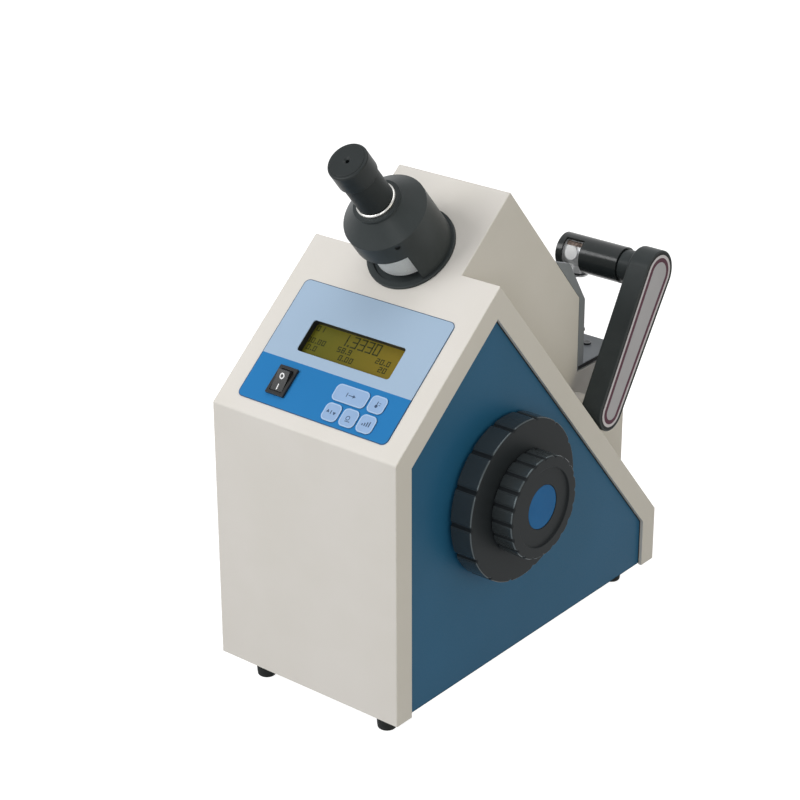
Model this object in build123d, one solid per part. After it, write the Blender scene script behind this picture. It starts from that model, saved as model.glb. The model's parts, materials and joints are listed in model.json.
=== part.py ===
"""Digital bench refractometer with a wedge-shaped casing, a sloping control panel, an eyepiece
that stands square to the slope, a stepped knob on the right side, and a prism table behind,
lit by a lamp on a swinging arm. Millimetres.

X runs to the right (the knob side), Y to the back and Z up. The origin is on the bench,
midway between the four feet. Pieces are first placed from the casing's front bottom edge
(y from the front face, z from the bottom edge) and then moved to the origin on the bench.
"""
from build123d import *
from math import acos, asin, atan2, cos, degrees, pi, radians, sin, sqrt, tan
import os

# Casing
casing_width = 180.0
casing_length = 346.2
front_height = 218.25
slope_angle = 39.7  # front slope above the horizontal
rear_corner_height = 48.1  # where the wedge's rear slope meets the back
block_step = 76.9  # from the wedge's rear slope to the upper block's, which is parallel to it
block_width = 108.0  # upper block, narrower than the wedge
shelf_depth = 70.2  # from the upper block's upright back to the casing's back
block_rear_height = 64.8  # upright back of the upper block, above the shelf
wall = 2.5
frame_width = 17.8  # painted border round each side panel
frame_thickness = 3.0
edge_radius = 1.0
front_fold_radius = 3.0  # bend between the front and the slope
fold_radius = 1.8  # bends along the ridge and the shelf
block_start = 30.0  # up the slope, where the upper block starts inside the wedge

# Side panels, base and feet
panel_thickness = 2.5
panel_lip = 6.0
panel_bottom = 1.5
fit_gap = 0.3  # between sheet-metal pieces that stand beside each other
base_thickness = 2.5
base_rise = 0.5  # underside of the base above the casing's bottom edge
foot_inset_x = 27.7
foot_inset_y = 21.6
foot_drop = 20.7  # feet below the casing's bottom edge
foot_top_radius = 9.0
foot_bottom_radius = 7.6
foot_edge_radius = 1.8
foot_screw_radius = 2.0
foot_screw_head_radius = 4.0
foot_screw_head_height = 2.6
foot_screw_cover = 6.0  # rubber below the screw head
foot_screw_grip = 4.0  # screw above the base

# Control panel on the slope: x across, s up the slope from its lower edge
overlay_thickness = 0.6
overlay_half_width = 73.0
overlay_bottom = 11.7
overlay_gap = 11.5  # between the overlay and the eyepiece's flange
overlay_corner = 5.0
window_half_width = 45.0
window_bottom = 60.5
window_top = 88.5
window_corner = 2.5
bezel_wall = 1.6
bezel_depth = 5.5
glass_thickness = 1.6
display_thickness = 7.0
display_margin = 5.0
key_corner = 3.8
key_gap = 0.4
key_rise = 0.9  # key top above the overlay
key_travel = 0.6
key_edge = 0.35
key_flange = 1.1
key_flange_thickness = 1.2
key_board_margin = 6.0
key_board_thickness = 1.6
key_post_radius = 2.2
tact_height = 3.5
tact_size = 6.0
tact_gap = 0.1
# name, then left, right, lower and upper edges
keys = [
    ("wide_key", 8.0, 38.5, 32.5, 46.0),
    ("upper_key", 41.5, 55.5, 32.5, 46.0),
    ("left_key", 8.4, 22.2, 15.4, 29.5),
    ("middle_key", 25.3, 38.9, 15.4, 29.5),
    ("right_key", 41.8, 55.5, 15.4, 29.5),
]

# Power switch
rocker_x = -40.05
rocker_s = 32.8
rocker_width = 11.4
rocker_radius = 9.25  # round ends about the pivot
rocker_pivot_rise = 0.5  # above the slope
rocker_throw = 26.0  # degrees from one face pressed in to the other
rocker_dish = 4.0  # degrees that each half rises from the middle
rocker_rise = 4.0  # middle of the rocker above the slope
rocker_underside = 5.0  # below the pivot
rocker_pin_radius = 1.5
rocker_pin_length = 1.0
rocker_gap = 0.35
switch_rim = 2.7  # width of the rim round the rocker
switch_rise = 3.0  # top of the rim above the slope
switch_wall = 1.6
switch_floor = 2.0
terminal_length = 7.0
terminal_width = 4.8
terminal_thickness = 0.8
terminal_spacing = 9.0

# Eyepiece: heights are above the slope, along its normal
eyepiece_setback = 67.08  # from the ridge down the slope to the eyepiece's axis
flange_radius = 36.7
flange_height = 2.4
flange_edge = 0.8
flange_recess = 1.6  # depth of the sunk middle, inside the hood
hood_radius = 34.0
hood_shoulder_height = 49.0
hood_top_height = 63.6
hood_top_radius = 19.3
hood_lip = 2.0  # short upright collar at the hood's top
hood_wall = 2.6
hood_neck_length = 14.0  # bored neck that guides the eyepiece barrel
hood_screw_height = 45.0
hood_screw_angle = 47.0
hood_screw_radius = 2.2
hood_screw_sink = 1.4
ring_rise = 3.2  # above the hood's collar
ring_seat = 1.6  # below its top
ring_radius = 15.9
ring_edge = 0.8
notch_top = 31.0
notch_half_angle = 50.0
drum_radius = 27.6
drum_bottom = 5.0
drum_height = 23.0
drum_ribs = 108
drum_rib_depth = 0.3
drum_seat_width = 3.0
barrel_radius = 14.6
barrel_stem_radius = 11.6
barrel_stem_length = 24.0
barrel_length = 29.7
barrel_bore = 8.6
cap_radius = 16.2
cap_length = 18.0
cap_edge = 1.6
cap_hole_radius = 1.5
cap_dimple_radius = 3.0
cap_dimple_depth = 1.0
cap_face_thickness = 3.0
cap_face_radius = 13.4  # raised middle of the cap's end
cap_face_rise = 0.6
lens_thickness = 4.0
running_gap = 0.05  # radial, between a shaft and its bearing
turn_gap = 0.35  # between turning pieces that must not touch

# Telescope, mirror and encoder
telescope_radius = 17.0
telescope_wall = 1.8
telescope_rise = 30.0  # tube above the slope, inside the drum
telescope_depth = 150.0  # tube below the slope
telescope_nut_radius = 22.0
telescope_nut_thickness = 4.0
objective_thickness = 6.0
clamp_length = 12.0
clamp_rim = 4.0
clamp_places = [30.0, 118.0]  # along the tube, from the slope
plate_thickness = 4.0
plate_x = 20.0
plate_flange = 16.0
plate_margin = 18.0
plate_window_radius = 34.0
plate_window_z = 62.0
mirror_width = 26.0
mirror_length = 34.0
mirror_thickness = 4.0
mirror_seat = 2.5
mirror_shaft_radius = 4.0
encoder_x = 35.0
encoder_radius = 27.0
encoder_thickness = 1.2
encoder_hub_radius = 8.0
encoder_slots = 24
encoder_slot_length = 4.0
encoder_slot_width = 1.6
encoder_slot_inset = 1.5
reader_angle = -62.0
reader_size = 12.0
reader_gap = 1.2

# Knob, its shafts and the drive to the mirror
knob_drop = 72.25  # below the slope's lower edge
knob_gap = 2.0  # from the side panel to the back of the coarse knob
coarse_radius = 65.7
coarse_length = 19.7
coarse_groove_count = 14
coarse_groove_share = 0.24  # of the pitch
fine_radius = 41.4
fine_length = 19.2
fine_groove_count = 20
fine_groove_share = 0.5
groove_depth = 0.9
knob_edge = 1.2
knob_wall = 4.0
knob_hub_radius = 14.0
knob_step_gap = 0.3  # axial, between the coarse and the fine knob
knob_dish_radius = 32.0  # sunk middle of the fine knob's face
knob_dish_depth = 1.6
knob_disc_radius = 17.7
knob_disc_thickness = 1.2
knob_disc_sink = 0.4  # below the dish
coarse_shaft_radius = 7.0
fine_shaft_radius = 4.0
shaft_end_gap = 2.0
bush_radius = 11.0
bush_flange_radius = 17.0
bush_flange_thickness = 1.4
bush_length = 22.0
gear_module = 1.0
pinion_teeth = 24
sector_teeth_full = 222
sector_teeth_cut = 19
pressure_angle = 20.0
tooth_addendum = 0.9  # of the module
tooth_root = 1.25  # of the module
tooth_thinning = 0.12  # off each flank, which leaves the backlash
gear_width = 4.0
pinion_extra = 1.0  # wider than the sector on each side
sector_x = 30.0
sector_rim = 8.0
sector_hub_radius = 10.0
sector_arm_width = 10.0

# Prism head behind the upper block
shelf_plate_thickness = 5.2
shelf_plate_length = 59.0
shelf_plate_step = 1.6
shelf_plate_inset = 1.5
bracket_thickness = 5.6
cheek_width = 5.0
cheek_depth = 7.7  # of the upright part, behind the block
cheek_top_depth = 9.6
cheek_top_drop = 97.3  # down the rear slope from the ridge
cheek_shoulder_drop = 116.5
cheek_top_lean = 17.0
light_hole_radius = 8.5
sample_drop = 44.1  # middle of the sample face, down the rear slope from the block's corner
prism_half_width = 13.0
prism_half_length = 11.0
prism_thickness = 9.0
prism_taper = 5.0
prism_box_wall = 4.0
prism_box_half_length = 15.5  # along the sample face
prism_box_lip = 8.0
cover_clearance = 0.3
cover_thickness = 11.0
cover_top = 12.5  # edges of the cover from the middle of the sample face
cover_bottom = 12.6
cover_prism_thickness = 6.5
cover_window_radius = 6.5
cover_grip_radius = 3.0
cover_grip_length = 3.0
hinge_pin_radius = 1.6
hinge_drop = 16.7  # hinge axis below the middle of the sample face
hinge_rise = 4.0  # hinge axis above the sample face
hinge_eye_radius = 3.2
hinge_eye_width = 5.0
shelf_screw_x = 33.0
shelf_screw_inset = 16.0  # from the plate's rear edge
cheek_screw_drop = 30.6  # below the block's rear corner
cheek_screw_inset = 2.5
screw_radius = 1.5
screw_head_radius = 3.6
cheek_screw_head_radius = 2.3
screw_head_height = 1.6
screw_length = 11.0

# Lamp and its arm
pivot_lead = 2.1  # pivot in front of the upper block's back
pivot_drop = 24.9  # and below the shelf
arm_length = 117.6
arm_lean = 31.4  # degrees back from upright
arm_pivot_radius = 16.4
arm_head_radius = 19.8
arm_thickness = 20.0
arm_edge = 1.0
arm_inner_edge = 3.0
inlay_pivot_radius = 12.6
inlay_head_radius = 16.0
inlay_depth = 1.2
inlay_thickness = 1.0
stud_radius = 6.0
stud_depth = 13.0  # of the blind holes in the arm
stud_boss_radius = 7.5
stud_nut_radius = 10.0
stud_nut_thickness = 5.0
lamp_tube_radius = 15.1
lamp_tube_wall = 2.2
lamp_tube_left = -2.4  # left end of the tube, from the middle plane
lamp_tube_cap = 3.0
lamp_boss_radius = 13.6
lamp_boss_length = 12.5
lamp_boss_gap = 0.4
lamp_spigot_radius = 8.0
lamp_window_left = 3.2
lamp_window_right = 20.6
lamp_window_up = 69.0  # window limits, in degrees above and below the forward direction
lamp_window_down = 124.0
holder_radius = 11.4
holder_plate = 1.6
holder_boss_radius = 5.9
holder_boss_reach = 13.6
holder_boss_angle = 18.0
lens_barrel_radius = 7.6
lens_ring_reach = 18.6
lens_radius = 6.8
lens_reach = 20.6
lamp_cell_length = 14.0
lamp_cell_radius = 9.0

# Boards, transformer and rear sockets
board_thickness = 1.6
board_side_gap = 4.5  # to the left panel
board_width = 62.0
board_front = 42.0
board_depth = 150.0
board_hole_inset = 6.0
standoff_height = 9.0
standoff_radius = 3.0
chip_height = 4.0
core_width = 54.0
core_depth = 30.0
core_height = 46.0
core_limb = 10.0
coil_gap = 1.0
coil_build = 9.0
transformer_side_gap = 7.5
transformer_y = 262.0
socket_z = 26.0
inlet_x = -32.0
inlet_width = 27.5
inlet_height = 20.0
inlet_depth = 24.0
inlet_wall = 2.0
inlet_cavity = 17.0
inlet_pin_length = 10.0
inlet_pin_spacing = 7.0
inlet_flange_width = 50.0
inlet_flange_height = 26.0
socket_flange = 2.0
port_x = 34.0
port_width = 18.6
port_height = 9.6
port_depth = 11.0
port_reach = 5.6
port_corner = 2.0
port_flange_width = 30.8
port_flange_height = 13.0
port_post_spacing = 25.0
port_post_radius = 2.4

# Values that follow from those above
c = cos(radians(slope_angle))
s = sin(radians(slope_angle))
half_width = casing_width / 2
half_block = block_width / 2
panel_outside = half_width - frame_thickness
panel_inside = panel_outside - panel_thickness
shoulder_slope_length = casing_length * c - (front_height - rear_corner_height) * s
apex = (shoulder_slope_length * c, front_height + shoulder_slope_length * s)
ridge_slope_length = shoulder_slope_length + block_step
ridge = (ridge_slope_length * c, front_height + ridge_slope_length * s)
block_back = casing_length - shelf_depth
eyepiece_s = ridge_slope_length - eyepiece_setback
overlay_top = eyepiece_s - flange_radius - overlay_gap
wedge_drop = (casing_length - apex[0]) / s
block_drop = (block_back - ridge[0]) / s
wedge_corner = (casing_length, apex[1] - wedge_drop * c)
block_corner = (block_back, ridge[1] - block_drop * c)
shelf_height = block_corner[1] - block_rear_height
base_top = base_rise + base_thickness
knob_z = front_height - knob_drop
pivot_y = block_back - pivot_lead
pivot_z = shelf_height - pivot_drop
board_left = board_side_gap - panel_inside
transformer_x = transformer_side_gap + core_width / 2 - panel_inside

# The telescope's axis meets the mirror at the height of the prism. The mirror's shaft lies behind
# the mirror's face, and the knob's axis is in front of it at the gears' centre distance.
pinion_radius = gear_module * pinion_teeth / 2
sector_radius = gear_module * sector_teeth_full / 2
centre_distance = pinion_radius + sector_radius
mirror_setback = mirror_thickness + mirror_seat + mirror_shaft_radius
mirror_normal = ((c - s) / sqrt(2), (c + s) / sqrt(2))
mirror_reach = block_drop + sample_drop
eye_y = eyepiece_s * c
eye_z = front_height + eyepiece_s * s
shaft_y = eye_y + mirror_reach * s - mirror_setback * mirror_normal[0]
shaft_z = eye_z - mirror_reach * c - mirror_setback * mirror_normal[1]
knob_y = shaft_y - sqrt(centre_distance**2 - (knob_z - shaft_z) ** 2)
knob_bearing = degrees(atan2(knob_z - shaft_z, knob_y - shaft_y))

shelf_top = shelf_height + shelf_plate_thickness
bracket_back = block_back + bracket_thickness
arm_inside = half_width - arm_thickness
coarse_back = panel_outside + knob_gap
fine_back = coarse_back + coarse_length + knob_step_gap
tube_right = arm_inside - lamp_boss_length - lamp_boss_gap
foot_x = half_width - foot_inset_x

# Local frames. In side, x, y and z stand for the part's Y, Z and X.
side = Plane.YZ.location
slope = Plane(origin=(0, 0, front_height), x_dir=(1, 0, 0), z_dir=(0, -s, c)).location
eye = slope * Pos(0, eyepiece_s, 0)
# On the upper block's rear slope: x across, y down the slope from the ridge, z outwards
rear_slope = Plane(origin=(0, ridge[0], ridge[1]), x_dir=(1, 0, 0), z_dir=(0, c, s)).location
sample = rear_slope * Pos(0, mirror_reach, 0)
hinge = sample * Pos(0, hinge_drop, hinge_rise)
back = Plane(origin=(0, casing_length, 0), x_dir=(-1, 0, 0), z_dir=(0, 1, 0)).location
arm_frame = side * Pos(pivot_y, pivot_z, arm_inside) * Rot(0, 0, -arm_lean)
lamp_frame = arm_frame * Pos(0, arm_length, -arm_inside) * Rot(0, 0, arm_lean)
to_bench = Pos(0, -casing_length / 2, foot_drop)

BASE = (Align.CENTER, Align.CENTER, Align.MIN)
TIP = (Align.CENTER, Align.CENTER, Align.MAX)


def disc(radius, height, align=BASE):
    return Cylinder(radius, height, align=align)


def brick(width, length, height, align=BASE):
    return Box(width, length, height, align=align)


def at_side(y, z, x):
    """A frame at a point of the casing, with its z axis along the part's X."""
    return side * Pos(y, z, x)


def side_plate(points, x0, x1):
    """A plate across X with an outline in y and z."""
    return across(make_face(Polyline(*points, close=True)), x0, x1)


def across(face, x0, x1):
    return side * Pos(0, 0, x0) * extrude(face, amount=x1 - x0)


def turned(points):
    """A solid of revolution about the local z axis, from radius and height pairs."""
    return revolve(Plane.XZ * make_face(Polyline(*points, close=True)), Axis.Z)


def ring(outer, inner, low, high):
    return turned([(inner, low), (outer, low), (outer, high), (inner, high)])


def slab(left, right, lower, upper, corner, low, high):
    """A plate with round corners between four edges, from one height to another."""
    flat = RectangleRounded(right - left, upper - lower, corner)
    return Pos((left + right) / 2, (lower + upper) / 2, low) * extrude(flat, amount=high - low)


def stadium(radius_a, radius_b, length):
    """The outline round two circles of different size, the second one up the local y axis."""
    lean = asin((radius_a - radius_b) / length)
    a = (radius_a * cos(lean), radius_a * sin(lean))
    b = (radius_b * cos(lean), length + radius_b * sin(lean))
    edges = [
        Line(a, b),
        ThreePointArc(b, (0, length + radius_b), (-b[0], b[1])),
        Line((-b[0], b[1]), (-a[0], a[1])),
        ThreePointArc((-a[0], a[1]), (0, -radius_a), a),
    ]
    return make_face(edges)


def group(pieces):
    """Several separate solids that share one node."""
    return Compound(children=list(pieces))


# Casing, panels, base and feet
wedge_outline = [(0, 0), (0, front_height), apex, wedge_corner, (casing_length, 0)]
block_outline = [
    (0, 0),
    (0, front_height),
    ridge,
    block_corner,
    (block_back, shelf_height),
    (casing_length, shelf_height),
    (casing_length, 0),
]


def pulled_in(points, margin, low):
    """A side outline pulled in by a margin, but carried down to a height of its own."""
    face = offset(make_face(Polyline(*points, close=True)), -margin, kind=Kind.INTERSECTION)
    depth = margin + 1.0 - low
    skirt = Rectangle(casing_length - 2 * margin, depth, align=(Align.MIN, Align.MIN))
    return face + Pos(margin, low) * skirt


def window(margin, low, high):
    return slab(
        -window_half_width - margin,
        window_half_width + margin,
        window_bottom - margin,
        window_top + margin,
        window_corner + margin,
        low,
        high,
    )


def switch_block(margin, low, high):
    """A block round the rocker's cavity."""
    half_x = rocker_width / 2 + rocker_gap + margin
    half_s = rocker_radius + rocker_gap + margin
    return Pos(rocker_x, rocker_s, low) * brick(2 * half_x, 2 * half_s, high - low)


def key_holes(low, high):
    gap = key_gap
    return [
        slab(left - gap, right + gap, lower - gap, upper + gap, key_corner + gap, low, high)
        for name, left, right, lower, upper in keys
    ]


def is_rim(edge):
    """True for the outer edges of the casing's side faces, which are rounded."""
    x, y, z = edge.center().X, edge.center().Y, edge.center().Z
    if z < edge_radius:
        return False
    on_wedge = abs(abs(x) - half_width) < 0.01
    on_block = abs(abs(x) - half_block) < 0.01
    above_wedge = (y - apex[0]) * c + (z - apex[1]) * s > 0.01
    return on_wedge or (on_block and above_wedge)


def folded(points, bends):
    """A side outline with some corners rounded; bends holds pairs of corner and radius."""
    face = make_face(Polyline(*points, close=True))
    for (y, z), radius in bends:
        corner = face.vertices().sort_by_distance((y, z, 0))[0]
        face = fillet(corner, radius)
    return face


def make_casing():
    wedge = folded(wedge_outline, [((0, front_height), front_fold_radius)])
    rear_edge = (casing_length, shelf_height)
    start = (block_start * c, front_height + block_start * s)
    block_points = [(start[0], 0), start] + block_outline[2:]
    block = folded(block_points, [(corner, fold_radius) for corner in (ridge, block_corner, rear_edge)])
    body = across(wedge, -half_width, half_width) + across(block, -half_block, half_block)
    body = fillet([edge for edge in body.edges() if is_rim(edge)], edge_radius)
    body -= across(pulled_in(wedge_outline, wall, -1.0), -panel_outside, panel_outside)
    body -= across(pulled_in(block_outline, wall, -1.0), wall - half_block, half_block - wall)
    body -= across(pulled_in(wedge_outline, frame_width, -1.0), -half_width - 1, half_width + 1)
    body -= slope * window(bezel_wall + fit_gap, -2 * wall, wall)
    body -= slope * switch_block(switch_wall + fit_gap, -2 * wall, wall)
    for hole in key_holes(-2 * wall, wall):
        body -= slope * hole
    body -= eye * disc(telescope_radius + running_gap, 4 * wall, TIP)
    body -= eye * disc(telescope_radius + running_gap, wall)
    body -= sample * disc(light_hole_radius, mirror_reach / 3, TIP)
    body -= at_side(pivot_y, pivot_z, 0) * disc(stud_radius, half_block + 1)
    body -= back * Pos(-inlet_x, socket_z, 1) * brick(inlet_width, inlet_height, 4 * wall, TIP)
    body -= back * Pos(-port_x, socket_z, 1) * brick(port_width, port_height, 4 * wall, TIP)
    for place in shelf_screw_places() + cheek_screw_places():
        body -= place * disc(screw_radius, screw_length, TIP)
    return body


def make_side_panel(direction):
    outline = pulled_in(wedge_outline, frame_width - panel_lip, panel_bottom)
    low = min(direction * panel_inside, direction * panel_outside)
    panel = across(outline, low, low + panel_thickness)
    if direction > 0:
        panel -= at_side(knob_y, knob_z, panel_inside - 1) * disc(bush_radius, panel_thickness + 2)
    return panel


def foot_places():
    y0 = foot_inset_y
    y1 = casing_length - foot_inset_y
    return [Pos(x, y, base_rise) for x in (-foot_x, foot_x) for y in (y0, y1)]


def make_base_plate():
    low = wall + fit_gap
    width = 2 * (panel_inside - fit_gap)
    length = casing_length - 2 * low
    plate = Pos(0, casing_length / 2, base_rise) * brick(width, length, base_thickness)
    for place in foot_places():
        plate -= place * Pos(0, 0, -1) * disc(foot_screw_radius, base_thickness + 2)
    return plate


def foot_screw_head_top():
    return -foot_drop - base_rise + foot_screw_cover + foot_screw_head_height


def make_foot():
    bottom = -foot_drop - base_rise
    tread = foot_bottom_radius
    recess = foot_screw_head_radius + fit_gap
    head_top = foot_screw_head_top()
    shape = [
        (foot_screw_radius, 0),
        (foot_top_radius, 0),
        (tread, bottom + foot_edge_radius),
        (tread - foot_edge_radius, bottom),
        (recess, bottom),
        (recess, head_top),
        (foot_screw_radius, head_top),
    ]
    return turned(shape)


def make_foot_screw():
    head_top = foot_screw_head_top()
    length = base_thickness + foot_screw_grip - head_top
    head = Pos(0, 0, head_top) * disc(foot_screw_head_radius, foot_screw_head_height, TIP)
    return head + Pos(0, 0, head_top) * disc(foot_screw_radius, length)


# Control panel
def make_overlay():
    edge = overlay_half_width
    sheet = slab(-edge, edge, overlay_bottom, overlay_top, overlay_corner, 0, overlay_thickness)
    sheet -= window(0, -1, overlay_thickness + 1)
    sheet -= switch_block(switch_wall + fit_gap, -1, overlay_thickness + 1)
    for hole in key_holes(-1, overlay_thickness + 1):
        sheet -= hole
    return slope * sheet


def make_bezel():
    return slope * (window(bezel_wall, -bezel_depth, 0) - window(0, -bezel_depth - 1, 1))


def make_display_glass():
    return slope * window(bezel_wall, -bezel_depth - glass_thickness, -bezel_depth)


def make_display_module():
    top = -bezel_depth - glass_thickness
    return slope * window(display_margin, top - display_thickness, top)


def make_key(left, right, lower, upper):
    margin = key_flange
    low = -wall - key_flange_thickness
    body = slab(left, right, lower, upper, key_corner, low, overlay_thickness + key_rise)
    crown = body.faces().sort_by(Axis.Z)[-1]
    body = fillet(crown.edges(), key_edge)
    corner = key_corner + margin
    flange = slab(left - margin, right + margin, lower - margin, upper + margin, corner, low, -wall)
    return slope * (body + flange)


def make_key_board():
    """The key board with a switch under each key, on posts from the slope's underside."""
    left = min(key[1] for key in keys) - key_board_margin
    right = max(key[2] for key in keys) + key_board_margin
    lower = min(key[3] for key in keys) - key_board_margin
    upper = max(key[4] for key in keys) + key_board_margin
    top = -wall - key_flange_thickness - key_travel - tact_gap - tact_height
    board = slab(left, right, lower, upper, 2.0, top - key_board_thickness, top)
    for name, key_left, key_right, key_lower, key_upper in keys:
        middle = Pos((key_left + key_right) / 2, (key_lower + key_upper) / 2, top)
        board += middle * brick(tact_size, tact_size, tact_height)
    inset = key_post_radius + 0.5
    for x in (left + inset, right - inset):
        for y in (lower + inset, upper - inset):
            board += Pos(x, y, top) * disc(key_post_radius, -wall - top)
    return slope * board


def rocker_frame():
    return slope * Pos(rocker_x, rocker_s, rocker_pivot_rise)


def make_rocker():
    """Two faces in a very shallow V over a round pivot body; the lower one starts pressed in."""
    reach = rocker_radius + 1
    middle = rocker_rise - rocker_pivot_rise
    wing = middle + reach * tan(radians(rocker_dish))
    below = -rocker_underside
    crown = [(-reach, below), (-reach, wing), (0, middle), (reach, wing), (reach, below)]
    outline = make_face(Polyline(*crown, close=True)) & Circle(rocker_radius)
    body = extrude(Rot(0, 0, rocker_throw / 2) * outline, amount=rocker_width / 2, both=True)
    body += extrude(Circle(rocker_pin_radius), amount=rocker_width / 2 + rocker_pin_length, both=True)
    return rocker_frame() * side * body


def make_switch_housing():
    depth = rocker_radius + rocker_gap + switch_floor - rocker_pivot_rise
    body = switch_block(switch_rim, overlay_thickness, switch_rise)
    body += switch_block(switch_wall, -depth, overlay_thickness)
    body -= switch_block(0, switch_floor - depth, switch_rise + 1)
    body = slope * body
    pin = rocker_width / 2 + rocker_pin_length + rocker_gap
    body -= rocker_frame() * side * extrude(Circle(rocker_pin_radius + running_gap), pin, both=True)
    for shift in (-terminal_spacing / 2, terminal_spacing / 2):
        blade = brick(terminal_width, terminal_thickness, terminal_length, TIP)
        body += slope * Pos(rocker_x, rocker_s + shift, -depth) * blade
    return body


# Eyepiece
def make_eyepiece_flange():
    inner = telescope_radius + running_gap
    seat_top = drum_bottom - turn_gap
    seat = inner + drum_seat_width
    shape = [
        (inner, 0),
        (flange_radius, 0),
        (flange_radius, flange_height - flange_edge),
        (flange_radius - flange_edge, flange_height),
        (hood_radius - hood_wall, flange_height),
        (hood_radius - hood_wall, flange_height - flange_recess),
        (seat, flange_height - flange_recess),
        (seat, seat_top),
        (inner, seat_top),
    ]
    return eye * turned(shape)


def make_eyepiece_hood():
    inner = hood_radius - hood_wall
    bore = barrel_stem_radius + running_gap
    neck_low = hood_top_height - hood_neck_length
    inner_shoulder = hood_shoulder_height - hood_wall
    shape = [
        (inner, flange_height),
        (hood_radius, flange_height),
        (hood_radius, hood_shoulder_height),
        (hood_top_radius, hood_top_height - hood_lip),
        (hood_top_radius, hood_top_height),
        (ring_radius, hood_top_height),
        (ring_radius, hood_top_height - ring_seat),
        (bore, hood_top_height - ring_seat),
        (bore, neck_low),
        (hood_top_radius, neck_low),
        (inner, inner_shoulder),
    ]
    body = turned(shape)
    half_gap = hood_radius * sin(radians(notch_half_angle))
    cutter = brick(2 * half_gap, hood_radius + 1, notch_top - flange_height + 1)
    body -= Pos(0, -hood_radius / 2 - 0.5, flange_height - 1) * cutter
    body -= hood_screw_frame() * disc(hood_screw_radius, 4 * hood_wall, TIP)
    return eye * body


def hood_screw_frame():
    """On the hood's wall, with z pointing outwards."""
    turn = Rot(0, 0, hood_screw_angle)
    return Pos(0, 0, hood_screw_height) * turn * Pos(0, -hood_radius, 0) * Rot(90, 0, 0)


def make_hood_screw():
    place = eye * hood_screw_frame() * Pos(0, 0, -hood_screw_sink)
    return place * disc(hood_screw_radius, hood_wall - hood_screw_sink, TIP)


def make_lock_ring():
    inner = barrel_stem_radius + turn_gap
    low = hood_top_height - ring_seat
    top = hood_top_height + ring_rise
    shape = [
        (inner, low),
        (ring_radius, low),
        (ring_radius, top - ring_edge),
        (ring_radius - ring_edge, top),
        (inner, top),
    ]
    return eye * turned(shape)


def make_drum():
    """The knurled drum that turns the dispersion prisms, on the telescope tube."""
    body = ring(drum_radius - drum_rib_depth, telescope_radius + running_gap, 0, drum_height)
    rib_width = pi * drum_radius / drum_ribs
    rib = Pos(drum_radius - drum_rib_depth, 0, 0) * brick(2 * drum_rib_depth, rib_width, drum_height)
    ribs = [Rot(0, 0, 360 * n / drum_ribs) * rib for n in range(drum_ribs)]
    body = body.fuse(*ribs) & disc(drum_radius, drum_height)
    return eye * Pos(0, 0, drum_bottom) * body


def make_telescope():
    inner = telescope_radius - telescope_wall
    nut_low = -wall - telescope_nut_thickness
    shape = [
        (inner, -telescope_depth),
        (telescope_radius, -telescope_depth),
        (telescope_radius, nut_low),
        (telescope_nut_radius, nut_low),
        (telescope_nut_radius, -wall),
        (telescope_radius, -wall),
        (telescope_radius, telescope_rise),
        (inner, telescope_rise),
    ]
    return eye * turned(shape)


def make_objective():
    radius = telescope_radius - telescope_wall
    low = objective_thickness - telescope_depth
    return eye * Pos(0, 0, low) * disc(radius, objective_thickness)


def barrel_low():
    return hood_top_height + ring_rise + turn_gap


def make_eyepiece_barrel():
    low = barrel_low()
    shape = [
        (barrel_bore, low - barrel_stem_length),
        (barrel_stem_radius, low - barrel_stem_length),
        (barrel_stem_radius, low),
        (barrel_radius, low),
        (barrel_radius, low + barrel_length),
        (barrel_bore, low + barrel_length),
    ]
    return eye * turned(shape)


def make_eyepiece_cap():
    """The eye cap: its end has a raised middle with a small dimpled hole."""
    low = barrel_low() + barrel_length
    high = low + cap_length
    ledge = high - cap_face_thickness
    face = high + cap_face_rise
    shape = [
        (barrel_bore, low),
        (cap_radius, low),
        (cap_radius, high - cap_edge),
        (cap_radius - cap_edge, high),
        (cap_face_radius, high),
        (cap_face_radius, face),
        (cap_dimple_radius, face),
        (cap_hole_radius, face - cap_dimple_depth),
        (cap_hole_radius, ledge),
        (barrel_bore, ledge),
    ]
    return eye * turned(shape)


def make_eyepiece_lenses():
    """The eye lens under the cap's face and the equal field lens at the foot of the barrel."""
    low = barrel_low() - barrel_stem_length
    high = barrel_low() + barrel_length + cap_length - cap_face_thickness - lens_thickness
    return group(eye * Pos(0, 0, z) * disc(barrel_bore, lens_thickness) for z in (low, high))


# Optical plate, mirror and encoder
def make_optical_plate():
    """The upright plate that carries the telescope, the mirror's shaft and the knob's shaft."""
    near = clamp_places[0] - clamp_length
    centre = (eye_y + near * s, eye_z - near * c)
    reach = telescope_radius + clamp_rim
    front = knob_y - plate_margin
    rear = shaft_y + plate_margin
    points = [
        (front, base_top),
        (front, knob_z + plate_margin),
        (centre[0] - reach * c, centre[1] - reach * s),
        (centre[0] + reach * c, centre[1] + reach * s),
        (rear, shaft_z + plate_margin / 2),
        (rear, base_top),
    ]
    body = side_plate(points, plate_x, plate_x + plate_thickness)
    foot = brick(plate_flange, rear - front, plate_thickness)
    body += Pos(plate_x + plate_flange / 2, (front + rear) / 2, base_top) * foot
    cut = plate_thickness + 2
    body -= at_side((front + rear) / 2, plate_window_z, plate_x - 1) * disc(plate_window_radius, cut)
    body -= at_side(knob_y, knob_z, plate_x - 1) * disc(coarse_shaft_radius + running_gap, cut)
    body -= at_side(shaft_y, shaft_z, plate_x - 1) * disc(mirror_shaft_radius + running_gap, cut)
    return body


def make_telescope_clamp(place):
    """A ring round the tube with a foot on the optical plate."""
    outer = telescope_radius + clamp_rim
    foot = Pos(plate_x / 2, 0, 0) * brick(plate_x, outer, clamp_length)
    body = disc(outer - 1, clamp_length) & brick(2 * plate_x, 3 * outer, clamp_length)
    body = (body + foot) - Pos(0, 0, -1) * disc(telescope_radius, clamp_length + 2)
    return eye * Pos(0, 0, -place) * body


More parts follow.
